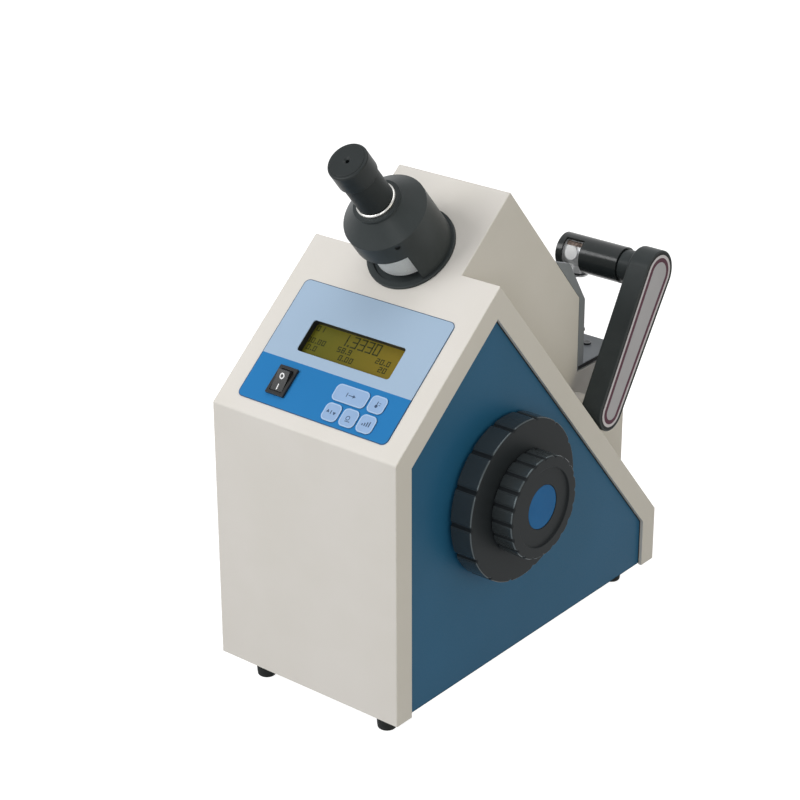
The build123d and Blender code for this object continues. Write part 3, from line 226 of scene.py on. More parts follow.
def boxes(rows):
    """Many small blocks at once: each row holds left, right, lower, upper, low and high."""
    rows = np.array(rows, float)
    x, y, z = [0, 1, 1, 0, 0, 1, 1, 0], [2, 2, 3, 3, 2, 2, 3, 3], [4, 4, 4, 4, 5, 5, 5, 5]
    vertices = np.stack([rows[:, x], rows[:, y], rows[:, z]], -1).reshape(-1, 3)
    cube = np.array(
        [(3, 2, 1, 0), (4, 5, 6, 7), (0, 1, 5, 4), (1, 2, 6, 5), (2, 3, 7, 6), (3, 0, 4, 7)]
    )
    faces = (cube[None] + 8 * np.arange(len(rows))[:, None, None]).reshape(-1, 4)
    return vertices, faces.tolist()


def moved(part, x, y):
    """The part's vertices moved across its own plane."""
    vertices, faces = part
    return vertices + (x, y, 0), faces


def at(part, m, base=CASING):
    """The part's vertices carried from one place into the local frame of another."""
    vertices, faces = part
    carry = np.linalg.inv(base) @ m
    return vertices @ carry[:3, :3].T + carry[:3, 3], faces


# Objects. Vertices nearer than MERGED, in metres, become one. An edge is sharp past SHARP degrees
# on a new piece, never on a bevelled one, and a bevel rounds the edges past BEVELLED degrees.
MERGED, SHORTEST_EDGE = 2e-6, 1e-6
SHARP, NEVER_SHARP = 32, 180
BEVELLED, FLAT = 25, 0.5


def settled(obj, material, body, replaced=(), sharp=SHARP):
    """Gives the object its material, puts it on its body and hides the nodes that it stands for.
    Shading is smooth with hard edges, weighted by face so that flats stay flat."""
    bpy.context.scene.collection.objects.link(obj)
    obj.data.materials.clear()
    obj.data.materials.append(material)
    obj.data.shade_smooth()
    obj.data.set_sharp_from_angle(angle=radians(sharp))
    weighted = obj.modifiers.new("weighted", "WEIGHTED_NORMAL")
    weighted.keep_sharp = True
    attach(obj, body)
    if replaced:
        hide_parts(*replaced)


def piece(name, parts, m, material, body, replaced=()):
    """One object from several local surfaces, merged, turned outwards and put on its body."""
    vertices, faces, count = [], [], 0
    for part, part_faces in parts:
        vertices.append(part)
        faces += [[index + count for index in face] for face in part_faces]
        count += len(part)
    world = np.vstack(vertices) @ m[:3, :3].T + m[:3, 3]
    mesh = bpy.data.meshes.new(name)
    mesh.from_pydata(world.tolist(), [], faces)
    work = bmesh.new()
    work.from_mesh(mesh)
    bmesh.ops.remove_doubles(work, verts=work.verts, dist=MERGED)
    bmesh.ops.dissolve_degenerate(work, edges=work.edges, dist=SHORTEST_EDGE)
    bmesh.ops.recalc_face_normals(work, faces=work.faces)
    work.to_mesh(mesh)
    work.free()
    settled(bpy.data.objects.new(name, mesh), material, body, replaced)


def softened(name, width, material, segments=3):
    """The solid's own faces, merged, with its edges rounded by a bevel."""
    mesh = frame["nodes"][name].data.copy()
    work = bmesh.new()
    work.from_mesh(mesh)
    bmesh.ops.remove_doubles(work, verts=work.verts, dist=MERGED)
    bmesh.ops.dissolve_limit(
        work,
        angle_limit=radians(FLAT),
        verts=work.verts,
        edges=work.edges,
        use_dissolve_boundaries=False,
    )
    work.to_mesh(mesh)
    work.free()
    obj = bpy.data.objects.new(name + "_finished", mesh)
    bevel = obj.modifiers.new("edges", "BEVEL")
    bevel.width = width * MILLIMETRE
    bevel.segments = segments
    bevel.limit_method = "ANGLE"
    bevel.angle_limit = radians(BEVELLED)
    bevel.miter_outer = "MITER_ARC"
    settled(obj, material, body_of(name), [name], NEVER_SHARP)


# Materials
def linear(code):
    """An sRGB hex colour as linear red, green, blue and full alpha."""
    part = np.array([int(code[n : n + 2], 16) for n in (1, 3, 5)]) / 255
    part = np.where(part <= 0.04045, part / 12.92, ((part + 0.055) / 1.055) ** 2.4)
    return (*part.tolist(), 1.0)


def add(tree, kind, inputs=(), **settings):
    """Adds a node with its settings; an input is a plain value or another node's socket."""
    made = tree.nodes.new(kind)
    for key, value in settings.items():
        setattr(made, key, value)
    for key, value in dict(inputs).items():
        if isinstance(value, bpy.types.NodeSocket):
            tree.links.new(value, made.inputs[key])
        else:
            made.inputs[key].default_value = value
    return made


def start(name):
    """A new material with an empty tree, its shader, and the object's own coordinates."""
    material = bpy.data.materials.new(name)
    material.use_nodes = True
    tree = material.node_tree
    tree.nodes.clear()
    shader = add(tree, "ShaderNodeBsdfPrincipled")
    add(tree, "ShaderNodeOutputMaterial", {"Surface": shader.outputs["BSDF"]})
    where = add(tree, "ShaderNodeTexCoord").outputs["Object"]
    return material, tree, shader, where


def given(shader, **values):
    """Values on the shader's own sockets. An underscore stands for a space in a socket's name."""
    for key, value in values.items():
        shader.inputs[key.replace("_", " ")].default_value = value


def noise(tree, where, size, detail=2.0):
    """Noise whose features are about size millimetres across."""
    scale = 1.0 / (size * MILLIMETRE)
    values = {"Vector": where, "Scale": scale, "Detail": detail}
    return add(tree, "ShaderNodeTexNoise", values).outputs["Fac"]


def remapped(tree, value, low, high, new_low, new_high):
    """The value carried from one range to another, and held at its ends."""
    values = {"From Min": low, "From Max": high, "To Min": new_low, "To Max": new_high}
    return add(tree, "ShaderNodeMapRange", {"Value": value, **values}).outputs["Result"]


def mixed(tree, factor, first, second):
    """A mix of two colours. On this node, set to colours, socket 0 is the factor, 6 and 7 are the
    colours, and the result comes out of socket 2."""
    made = add(tree, "ShaderNodeMix", {0: factor, 6: first, 7: second}, data_type="RGBA")
    return made.outputs[2]


# Grain sizes and depths are in millimetres. The orange peel of the powder coat and the enamels has
# its real size. The grain of anodising, plating, moulding and print is too fine to show in the
# render, so it is drawn coarser, at half a millimetre or more.
# Noise lies mostly between these: slow drifts of colour use the first pair, grains the second
DRIFT_RANGE = (0.35, 0.65)
GRAIN_RANGE = (0.3, 0.7)
ROUGHNESS_SWING = 0.05
# Gloss levels of the duller finishes, below the default 0.5 for clear lacquers
DULL, SATIN, EGGSHELL = 0.1, 0.15, 0.25


def bumped(tree, shader, grain, depth, strength=0.6):
    """Bump that follows a grain, with a depth in millimetres."""
    values = {"Height": grain, "Strength": strength, "Distance": depth * MILLIMETRE}
    tree.links.new(add(tree, "ShaderNodeBump", values).outputs["Normal"], shader.inputs["Normal"])


def coated(name, colour, shade, roughness, grain, depth, spread=60.0, metallic=0.0, gloss=0.5):
    """A finish with a fine grain. The colour drifts towards the shade over patches spread
    millimetres wide, and bump and roughness follow a grain of the given size and depth."""
    material, tree, shader, where = start(name)
    drift = remapped(tree, noise(tree, where, spread, 3.0), *DRIFT_RANGE, 0.0, 1.0)
    speck = noise(tree, where, grain, 3.0)
    tone = mixed(tree, drift, linear(colour), linear(shade))
    tree.links.new(tone, shader.inputs["Base Color"])
    smoothest, roughest = roughness - ROUGHNESS_SWING, roughness + ROUGHNESS_SWING
    rough = remapped(tree, speck, *GRAIN_RANGE, smoothest, roughest)
    tree.links.new(rough, shader.inputs["Roughness"])
    bumped(tree, shader, speck, depth)
    given(shader, Metallic=metallic, Specular_IOR_Level=gloss)
    return material


# Textured powder coating on folded sheet steel: a fine orange-peel grain breaks up the gloss.
cream_powder_coat = coated(
    "cream_powder_coat", "#D8D4CD", "#DBD7D1", 0.5, 1.1, 0.05, gloss=EGGSHELL
)
# Satin stoving enamel on the side panels: smoother than the cream, with a soft wide sheen.
blue_stove_enamel = coated(
    "blue_stove_enamel", "#1F597B", "#225C80", 0.45, 1.4, 0.03, 90.0, gloss=SATIN
)
# Black anodised turned aluminium: a soft, slightly bluish grey-black.
black_anodised = coated(
    "black_anodised_aluminium", "#34393A", "#383D3E", 0.38, 0.8, 0.012, 25.0, gloss=SATIN
)
# Bead-blasted black anodised aluminium of the eyepiece barrel: duller and darker than the hood.
blasted_black = coated(
    "bead_blasted_black_aluminium", "#2A2E2F", "#2E3233", 0.45, 0.6, 0.015, 25.0, gloss=DULL
)
# Moulded black ABS of the eye cap: a fine mould texture, so it is dull.
cap_abs = coated("moulded_black_abs", "#1F2425", "#232829", 0.4, 0.6, 0.02, 30.0, gloss=0.2)


# The knobs' full radii, and the depth below the full radius of the ridges' glossier band, whose
# lighter colour is a painted highlight
COARSE_RADIUS, FINE_RADIUS, RIDGE_SHEEN_DEPTH = 65.7, 41.4, 0.6


def knob_moulding(name, radius):
    """Moulded black ABS of a knob, in two finishes by the distance from the knob's axis: the face
    and the grooves are dull and dark, and the ridges between the grooves, near the full radius, are
    glossier, with a share of mirror gloss. The ridges' lighter colour is a painted highlight."""
    material, tree, shader, where = start(name)
    flat = add(tree, "ShaderNodeVectorMath", {0: where, 1: (0, 1, 1)}, operation="MULTIPLY")
    axis = (0, float(KNOB[1, 3]), float(KNOB[2, 3]))
    across = {0: flat.outputs["Vector"], 1: axis}
    away = add(tree, "ShaderNodeVectorMath", across, operation="DISTANCE").outputs["Value"]
    edge, blend = (radius - RIDGE_SHEEN_DEPTH) * MILLIMETRE, 0.2 * MILLIMETRE
    ridge_sheen = remapped(tree, away, edge - blend, edge + blend, 0.0, 1.0)
    speck = noise(tree, where, 0.6, 3.0)
    # Painted highlight: the ridges get a lighter colour than the face and grooves
    tone = mixed(tree, ridge_sheen, linear("#202427"), linear("#50575A"))
    tree.links.new(tone, shader.inputs["Base Color"])
    for socket, dull, polished in (("Metallic", 0.0, 0.6), ("Roughness", 0.5, 0.24)):
        value = remapped(tree, ridge_sheen, 0.0, 1.0, dull, polished)
        tree.links.new(value, shader.inputs[socket])
    given(shader, Specular_IOR_Level=0.12)
    bumped(tree, shader, speck, 0.01)
    return material


coarse_abs = knob_moulding("moulded_black_abs_large", COARSE_RADIUS)
fine_abs = knob_moulding("moulded_black_abs_small", FINE_RADIUS)
# Black nylon of the rocker and of the housings: a little glossier than the knobs.
switch_nylon = coated(
    "moulded_black_nylon", "#232425", "#28292A", 0.32, 0.5, 0.012, 15.0, gloss=EGGSHELL
)
# Light blue key caps of printed polycarbonate.
key_cap = coated(
    "light_blue_key_cap", "#90ACD0", "#94B0D4", 0.4, 0.5, 0.008, 12.0, gloss=SATIN
)
# Lacquered blue disc in the fine knob.
blue_lacquer = coated("blue_lacquer", "#0A5F9A", "#0E639F", 0.4, 0.9, 0.01, 20.0, gloss=DULL)
# Dark grey stoved paint of the bracket and of the shelf plate.
grey_bracket_paint = coated(
    "grey_bracket_paint", "#7E8388", "#858A8F", 0.45, 0.9, 0.03, 30.0, gloss=EGGSHELL
)
# Rubber of the feet, matt and nearly black. The painted shadow between the side panels and their
# frames shares it, and so does the shelf plate's dark band.
rubber_and_shade_black = coated("black_rubber_and_painted_shade", "#272929", "#2C2E2E", 0.75, 0.7, 0.05, 12.0, gloss=SATIN)
# Satin turned aluminium of the dispersion drum.
turned_aluminium = coated(
    "satin_turned_aluminium", "#DDE0E0", "#D5D8D8", 0.45, 0.5, 0.01, 20.0, metallic=0.25
)
# Polished nickel plating of the lock ring and of the hinge pin.
polished_nickel = coated(
    "polished_nickel", "#C2C1BE", "#B8B7B4", 0.26, 0.7, 0.004, 15.0, metallic=1.0
)
# Satin white-grey cast reflector of the lamp, seen through the window.
satin_reflector = coated(
    "satin_reflector", "#DADCDE", "#E2E3E4", 0.38, 0.8, 0.01, 6.0, metallic=0.35
)
# Glossy black enamel of the lamp tube.
black_gloss = coated(
    "glossy_black_enamel", "#24292A", "#282C2D", 0.2, 3.0, 0.001, 25.0, gloss=0.32
)
# Lacquered copper of the contact strip over the lamp: brown, darker in patches.
lacquered_copper = coated(
    "lacquered_copper", "#8F7D72", "#352A24", 0.3, 1.5, 0.02, 3.0, metallic=0.5
)
# Silver printed film of the arm's inlay, its maroon line and its pale outline.
silver_film = coated(
    "silver_grey_film", "#B5B4BA", "#BAB9BF", 0.5, 0.7, 0.008, 30.0, gloss=SATIN
)
maroon_print = coated("maroon_print", "#50293A", "#562D3F", 0.5, 0.7, 0.005, 30.0, gloss=SATIN)
pale_print = coated("pale_grey_print", "#D3CFD5", "#D7D3D9", 0.5, 0.7, 0.005, 30.0, gloss=SATIN)
# Black film on the arm's face, outside the pale outline.
black_film = coated("black_film", "#1B1E1F", "#1F2223", 0.5, 0.7, 0.005, 30.0, gloss=DULL)
# Screen-printed inks: white on the rocker, dark on the keys, and the line round the film. The pale
# band round each key is a painted highlight on its edge.
white_mark = coated("white_mark", "#E8E9EA", "#EDEEEF", 0.5, 0.5, 0.004)
dark_mark = coated("dark_mark", "#3B4C66", "#40516B", 0.5, 0.5, 0.004, gloss=SATIN)
border_ink = coated("dark_border_ink", "#2E425E", "#334764", 0.45, 0.5, 0.004, gloss=SATIN)
key_edge_highlight = coated("pale_key_edge_highlight", "#A6BFDD", "#AAC3E1", 0.45, 0.5, 0.004, gloss=SATIN)
# Steel screws: lighter grey on the rims of the shelf screws' heads, and blackened elsewhere.
screw_rim_grey = coated("grey_screw_rim_steel", "#5E6062", "#66686A", 0.35, 0.6, 0.01, 10.0, metallic=0.5)
# Zinc-plated sheet and shafts.
zinc_plate = coated("zinc_plated_steel", "#A0A3A5", "#AAADAF", 0.4, 2.5, 0.01, 20.0, metallic=0.9)
dark_screw = coated(
    "blackened_screw_steel", "#2B2D2F", "#333537", 0.35, 0.6, 0.01, 10.0, metallic=0.6
)
# Inside pieces: machined brass, green laminate, silvered glass, and the varnished steel of the
# transformer's core, which the ring round the lamp's lens barrel shares.
brass = coated("machined_brass", "#B08D4C", "#B99758", 0.3, 0.8, 0.01, 15.0, metallic=1.0)
board_laminate = coated("green_board_laminate", "#1F5A3A", "#23613F", 0.4, 1.0, 0.01, 20.0)
core_steel = coated(
    "varnished_core_steel", "#3A3B3D", "#454648", 0.45, 1.2, 0.03, 15.0, metallic=0.5
)
silvered_glass = coated(
    "silvered_glass", "#D9DCDE", "#DDE0E2", 0.05, 2.0, 0.001, 20.0, metallic=1.0
)


# Height up the slope at which the film's tone changes
TONE_BORDER = 51.2


def overlay_film():
    """Printed polyester film in two tones. The tone changes at a height up the slope, which is
    the dot product of the point with the slope's direction."""
    material, tree, shader, where = start("printed_polyester_film")
    up = ON_SLOPE[:3, 1] / MILLIMETRE
    height = add(tree, "ShaderNodeVectorMath", {0: where, 1: tuple(up)}, operation="DOT_PRODUCT")
    border = float(up @ shifted(ON_SLOPE, y=TONE_BORDER)[:3, 3])
    sides = {0: height.outputs["Value"], 1: border}
    above = add(tree, "ShaderNodeMath", sides, operation="GREATER_THAN").outputs["Value"]
    fine = noise(tree, where, 0.7, 2.0)
    drift = noise(tree, where, 70.0, 2.0)
    low = mixed(tree, drift, linear("#2474AF"), linear("#2979B6"))
    high = mixed(tree, drift, linear("#9FB5CC"), linear("#A4BAD0"))
    tree.links.new(mixed(tree, above, low, high), shader.inputs["Base Color"])
    given(shader, Roughness=0.4, Specular_IOR_Level=DULL)
    bumped(tree, shader, fine, 0.008, 0.5)
    return material


def display_cell():
    """Liquid-crystal glass over a yellow-green backlight. The lamp end at the right is warmer:
    the tint follows the distance across the cell. Its front is etched against glare."""
    material, tree, shader, where = start("liquid_crystal_glass")
    across = add(tree, "ShaderNodeSeparateXYZ", {"Vector": where}).outputs["X"]
    cool_end, warm_end = -30.0 * MILLIMETRE, 45.0 * MILLIMETRE
    warm = remapped(tree, across, cool_end, warm_end, 0.0, 1.0)
    speck = noise(tree, where, 0.6, 1.0)
    tone = mixed(tree, warm, linear("#5E5C1C"), linear("#7C6B22"))
    tree.links.new(tone, shader.inputs["Base Color"])
    rough = remapped(tree, speck, *GRAIN_RANGE, 0.30, 0.36)
    tree.links.new(rough, shader.inputs["Roughness"])
    given(shader, Specular_IOR_Level=DULL)
    return material


def optical_glass():
    """Polished crown glass: clear, with the gloss of its faces and an index of 1.52."""
    material, tree, shader, where = start("polished_crown_glass")
    rough = remapped(tree, noise(tree, where, 8.0, 1.0), *GRAIN_RANGE, 0.01, 0.03)
    tree.links.new(rough, shader.inputs["Roughness"])
    given(shader, Base_Color=linear("#E9F1F2"), Transmission_Weight=1.0, IOR=1.52)
    return material


film = overlay_film()
cell_glass = display_cell()
crown_glass = optical_glass()

# Nodes that keep their solids
kept = {
    "right_side_panel": blue_stove_enamel,
    "left_side_panel": blue_stove_enamel,
    "base_plate": zinc_plate,
    "screws": dark_screw,
    "control_overlay": film,
    "display_bezel": switch_nylon,
    "display_glass": cell_glass,
    "display_module": board_laminate,
    "key_board": board_laminate,
    "main_board": board_laminate,
    "board_standoffs": brass,
    "transformer": core_steel,
    "telescope_tube": black_anodised,
    "objective_lens": crown_glass,
    "telescope_clamps": turned_aluminium,
    "optical_plate": turned_aluminium,
    "encoder_reader": switch_nylon,
    "knob_bush": brass,
    "refracting_prism": crown_glass,
    "prism_hinge_pin": polished_nickel,
    "eyepiece_lenses": crown_glass,
    "dispersion_drum": turned_aluminium,
    "coarse_shaft": zinc_plate,
    "drive_pinion": brass,
    "fine_shaft": zinc_plate,
    "mirror_shaft": zinc_plate,
    "turning_mirror": silvered_glass,
    "mirror_sector": brass,
    "encoder_disc": turned_aluminium,
    "illuminating_prism": crown_glass,
    "condenser_lens": crown_glass,
    "lamp_cell": turned_aluminium,
    "arm_stud": cream_powder_coat,
}
for name, material in kept.items():
    node = frame["nodes"][name]
    node.data.materials.clear()
    node.data.materials.append(material)

# Solids whose edges get a small radius
softened("main_casing", 1.6, cream_powder_coat, 4)
softened("shelf_plate", 0.4, grey_bracket_paint)
softened("prism_bracket", 0.5, grey_bracket_paint)
softened("refracting_prism_box", 0.4, black_anodised)
softened("illuminating_prism_box", 0.5, black_anodised)
softened("switch_housing", 0.3, switch_nylon)
softened("power_rocker", 0.4, switch_nylon)
softened("mains_inlet", 0.4, switch_nylon)
softened("data_port", 0.3, zinc_plate)
softened("eyepiece_hood", 0.5, black_anodised)
softened("lock_ring", 0.4, polished_nickel)
softened("lamp_tube", 0.6, black_gloss)
softened("lens_holder", 0.4, satin_reflector)

# Feet: a drum with a soft waist under its flat top, hollow where its screw sits
FOOT_X, FOOT_Y, FOOT_TOP = 62.3, (21.6, 324.6), 0.5
FOOT_LENGTH = FOOT_DROP + FOOT_TOP
TOP_RADIUS, WAIST_RADIUS, WAIST_DROP, TREAD_RADIUS = 9.0, 7.8, 17.0, 7.4
SCREW_HOLE, SCREW_RECESS, RECESS_FLOOR = 2.1, 4.3, -12.6
foot = rounded(
    [
        (SCREW_HOLE, 0),
        (TOP_RADIUS, 0),
        (WAIST_RADIUS, -WAIST_DROP),
        (TREAD_RADIUS, -FOOT_LENGTH),
        (SCREW_RECESS, -FOOT_LENGTH),
        (SCREW_RECESS, RECESS_FLOOR),
        (SCREW_HOLE, RECESS_FLOOR),
    ],
    [0.05, 0.8, 6.0, 1.6, 0.4, 0.1, 0.1],
)
feet = [
    at(turned(foot, 48, loop=True), shifted(CASING, x, y, FOOT_TOP))
    for x in (-FOOT_X, FOOT_X)
    for y in FOOT_Y
]
piece("rubber_feet_finished", feet, CASING, rubber_and_shade_black, "stand", ["rubber_feet"])

# Painted shadow between each side panel and its frame: a black band that stands for the shade in
# the gap. The frame's opening follows the casing's outline pulled in by the frame's width, and the
# band lies along it on the panel
FRAME_WIDTH, SHADOW_BAND_WIDTH = 17.8, 1.0
SHADOW_BAND_FACES = np.array([86.6, 87.25])
OPENING_BOTTOM, SHADOW_BAND_FOOT = 1.6, 0.1
APEX_Y, APEX_Z, BACK_Z = 121.32, 318.97, 48.1


def opening(inset, bottom):
    """Corners in y and z of the wedge's outline, pulled in: each side moves inwards along its
    normal by the frame's width and the inset, and a corner is where two moved sides meet. The two
    slopes are square to each other."""
    w = FRAME_WIDTH + inset
    back = 2 * HALF_LENGTH
    low_front = FRONT_HEIGHT - w * C + (w - w * S) / C * S
    low_back = BACK_Z - w * S + (w - w * C) / S * C
    apex = (APEX_Y + w * (S - C), APEX_Z - w * (C + S))
    corners = [(w, bottom), (w, low_front), apex, (back - w, low_back), (back - w, bottom)]
    return np.array(corners)


shadow_band_outer = opening(0.0, OPENING_BOTTOM)
shadow_band_inner = opening(SHADOW_BAND_WIDTH, OPENING_BOTTOM + SHADOW_BAND_FOOT)
# Painted shadow: a black band on each panel along its frame, where the gap lies in shade
for side, name in ((1, "right_panel_painted_shadow"), (-1, "left_panel_painted_shadow")):
    shadow_band = band(shadow_band_outer, shadow_band_inner, *sorted(side * SHADOW_BAND_FACES))
    piece(name, [shadow_band], sideways(0, 0, 0), rubber_and_shade_black, "stand")

# Lighter grey rims on the two shelf screws' heads, round their dark sockets
SHELF_TOP, SHELF_SCREW_X, SHELF_SCREW_Y = 193.44, 33.0, 319.0
SCREW_HEAD, SCREW_SOCKET, RIM_LOW, RIM_HIGH = 3.63, 2.5, 0.9, 1.65
screw_rim = band(
    circle(SCREW_HEAD, 48), circle(SCREW_SOCKET, 48), SHELF_TOP + RIM_LOW, SHELF_TOP + RIM_HIGH
)
rims = [moved(screw_rim, x, SHELF_SCREW_Y) for x in (-SHELF_SCREW_X, SHELF_SCREW_X)]
piece("shelf_screw_rims", rims, CASING, screw_rim_grey, "stand")

# A dark band along the shelf plate's sides and back, under a thin line of its grey top. It stands
# proud of the plate's sides and back, and starts a little behind its front.
PROUD, SUNK, BEHIND_FRONT = 0.06, 0.4, 0.5
EDGE_BOTTOM, GREY_LINE = 3.55, 0.75
shelf_low, shelf_high = np.array(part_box("shelf_plate")) / MILLIMETRE
left, right = shelf_low[0], shelf_high[0]
lower, upper = shelf_low[1] + HALF_LENGTH + BEHIND_FRONT, shelf_high[1] + HALF_LENGTH
edge_band = band(
    box_outline(left - PROUD, right + PROUD, lower, upper + PROUD, 0.45, 3),
    box_outline(left + SUNK, right - SUNK, lower + SUNK, upper - SUNK, 0.1, 3),
    SHELF_TOP - EDGE_BOTTOM,
    SHELF_TOP - GREY_LINE,
)
piece("shelf_plate_edge", [edge_band], CASING, rubber_and_shade_black, "stand")

# Keys: an embossed cap each, with a soft rim; below the film it is plain
KEY_TOP, KEY_FOOT, KEY_CORNER = 1.5, -3.7, 3.8
KEYS = {
    "wide_key": (8.0, 38.5, 32.5, 46.0),
    "upper_key": (41.5, 55.5, 32.5, 46.0),
    "left_key": (8.4, 22.2, 15.4, 29.5),
    "middle_key": (25.3, 38.9, 15.4, 29.5),
    "right_key": (41.8, 55.5, 15.4, 29.5),
}
for name, edges in KEYS.items():
    cap = carried(box_outline(*edges, KEY_CORNER, 6), soft_edge(KEY_FOOT, KEY_TOP, 0.35))
    piece(name + "_cap", [cap], ON_SLOPE, key_cap, name, [name])

# Segments of a plain numeral: left, right, lower and upper as shares of its width and height
SEGMENTS = {
    "top": (0, 1, 1, 1),
    "middle": (0, 1, 0.5, 0.5),
    "bottom": (0, 1, 0, 0),
    "upper_left": (0, 0, 0.5, 1),
    "upper_right": (1, 1, 0.5, 1),
    "lower_left": (0, 0, 0, 0.5),
    "lower_right": (1, 1, 0, 0.5),
}
ORDER = ("top", "upper_right", "lower_right", "bottom", "lower_left", "upper_left", "middle")
LIT = {
    "0": "1111110",
    "1": "0110000",
    "2": "1101101",
    "3": "1111001",
    "5": "1011011",
    "6": "1011111",
    "8": "1111111",
    "9": "1111011",
}
# Room after a point and between numerals, in strokes
POINT_STEP, NUMERAL_GAP = 2.6, 2.4


def numerals(text, x, y, width, height, stroke, low, high):
    """Blocks for a number: each lit segment of each numeral is one bar of the stroke's width."""
    rows, half = [], stroke / 2
    for sign in text:
        if sign == ".":
            rows.append((x - half, x + stroke, y - half, y + stroke, low, high))
            x += POINT_STEP * stroke
            continue
        for lit, name in zip(LIT[sign], ORDER):
            if lit == "1":
                a, b, p, q = SEGMENTS[name]
                left, right = x + a * width - half, x + b * width + half
                lower, upper = y + p * height - half, y + q * height + half
                rows.append((left, right, lower, upper, low, high))
        x += width + NUMERAL_GAP * stroke
    return boxes(rows)


# Each reading's text and place on the slope, with its numerals' width, height and stroke
GLASS, PRINT_HEIGHT = -5.5, 0.08
BIG, SMALL = (4.4, 8.8, 1.15), (2.3, 3.8, 0.78)
placed = [
    ("1.3330", -16.4, 78.3, BIG),
    ("01", -43.0, 83.2, SMALL),
    ("00.00", -46.0, 72.6, SMALL),
    ("0.0", -42.6, 66.4, SMALL),
    ("58.9", -15.6, 72.0, SMALL),
    ("0.00", -10.6, 65.8, SMALL),
    ("20.0", 21.6, 72.6, SMALL),
    ("20", 27.6, 66.6, SMALL),
]
readings = [
    numerals(text, x, y, *size, GLASS, GLASS + PRINT_HEIGHT) for text, x, y, size in placed
]
lcd_mark = coated("dark_liquid_crystal", "#393A1A", "#353719", 0.4, 0.5, 0.002, gloss=DULL)
piece("display_numerals", readings, ON_SLOPE, lcd_mark, "stand")

# A thin dark printed line round the overlay film
FILM_TOP, FILM_HALF_WIDTH, FILM_LOWER, FILM_UPPER, FILM_CORNER = 0.6, 73.0, 11.7, 119.3, 5.0
PRINT_SUNK, PRINT_PROUD = 0.3, 0.02


def film_outline(inset):
    """The film's outline on the slope, pulled in."""
    half, corner = FILM_HALF_WIDTH - inset, FILM_CORNER - inset
    return box_outline(-half, half, FILM_LOWER + inset, FILM_UPPER - inset, corner)


border_line = band(
    film_outline(0.0), film_outline(0.5), FILM_TOP - PRINT_SUNK, FILM_TOP + PRINT_PROUD
)
piece("overlay_border_line", [border_line], ON_SLOPE, border_ink, "stand")

# Painted highlight along each key's edge, and small plain symbols, one for each key
HIGHLIGHT_OUT, HIGHLIGHT_IN = 0.4, 0.5


def key_outline(edges, grown):
    """A key's outline on the slope, grown on all sides."""
    left, right, lower, upper = edges
    corner = KEY_CORNER + grown
    return box_outline(left - grown, right + grown, lower - grown, upper + grown, corner, 6)


# Painted highlight: a pale band over each key's soft edge and the gap round it
for name, edges in KEYS.items():
    outer, inner = key_outline(edges, HIGHLIGHT_OUT), key_outline(edges, -HIGHLIGHT_IN)
    rim = band(outer, inner, KEY_TOP - 0.28, KEY_TOP + PRINT_PROUD)
    piece(name + "_edge_highlight", [rim], ON_SLOPE, key_edge_highlight, name)

INK = (KEY_TOP - 0.05, KEY_TOP + 0.03)


def bars(*rows):
    """Upright bars of ink: left, right, lower and upper of each."""
    return boxes([(*row, *INK) for row in rows])


def inked(outline):
    """A flat patch of ink inside an outline."""
    return carried(outline, [(0, height) for height in INK])


def triangle(x, y, way, size):
    """A small triangle that points along the way, in quarter turns from the right."""
    t = radians(90 * way) + np.array([0, 2 * pi / 3, 4 * pi / 3])
    return inked(np.stack([x + size * np.cos(t), y + size * np.sin(t)], 1))


def ring_mark(outer, inner, stretch=1.0):
    """A flat ring of ink about the origin, stretched up the face."""
    ring = circle(1.0, 48) * (1, stretch)
    return band(outer * ring, inner * ring, *INK)


symbols = {
    "wide_key": [
        bars((19.4, 20.1, 37.4, 41.0), (21.3, 25.4, 38.9, 39.5)),
        triangle(26.2, 39.2, 0, 1.7),
    ],
    "upper_key": [
        moved(inked(circle(1.3, 32)), 48.2, 37.9),
        bars((47.8, 48.6, 38.6, 42.0), (49.8, 51.4, 39.0, 39.5), (49.8, 51.4, 40.6, 41.1)),
    ],
    "left_key": [
        triangle(12.0, 22.6, 1, 1.7),
        triangle(18.2, 22.2, 3, 1.7),
        bars((14.6, 15.4, 21.0, 24.0)),
    ],
    "middle_key": [moved(ring_mark(1.9, 1.3), 31.4, 22.2), bars((30.0, 34.4, 19.2, 19.8))],
    "right_key": [
        bars(
            (45.0, 46.0, 20.6, 22.2),
            (47.0, 48.0, 20.6, 23.2),
            (49.0, 50.0, 20.6, 24.2),
            (51.0, 52.0, 20.6, 25.0),
        )
    ],
}
for name, parts in symbols.items():
    piece(name + "_symbol", parts, ON_SLOPE, dark_mark, name)

# Rocker: its two faces meet in a shallow V, and each has its white mark
ROCKER_X, ROCKER_TILT, ROCKER_DISH, ROCKER_MIDDLE = -40.05, 13.0, 4.0, 3.5


def rocker_face(tilt, along):
    """A place on one of the rocker's faces: its local y runs up the face, which leans out from
    the slope by the tilt, and it lies some millimetres along from the V's bottom."""
    turn, lean = radians(ROCKER_TILT), radians(tilt)
    up, out = np.array([0, C, S]), np.array([0, -S, C])
    face_up = cos(lean) * up + sin(lean) * out
    face_out = cos(lean) * out - sin(lean) * up
    middle = ROCKER_MIDDLE * (cos(turn) * out - sin(turn) * up) + along * face_up
    y, z = np.array(joint_place("power_tilt")) + middle[1:]
    return shifted(place((1, 0, 0), face_out, ROCKER_X, y, z), z=-KEY_TOP)


rocker_ring = ring_mark(2.2, 1.35, 1.12)
rocker_bar = bars((-0.42, 0.42, -2.3, 2.3))
marks = [
    at(rocker_ring, rocker_face(ROCKER_TILT + ROCKER_DISH, 3.7)),
    at(rocker_bar, rocker_face(ROCKER_TILT - ROCKER_DISH, -5.0)),
]
piece("rocker_marks", marks, CASING, white_mark, "rocker")


# Knobs, about their own axis, with a soft front edge
KNOB_EDGE = 1.4


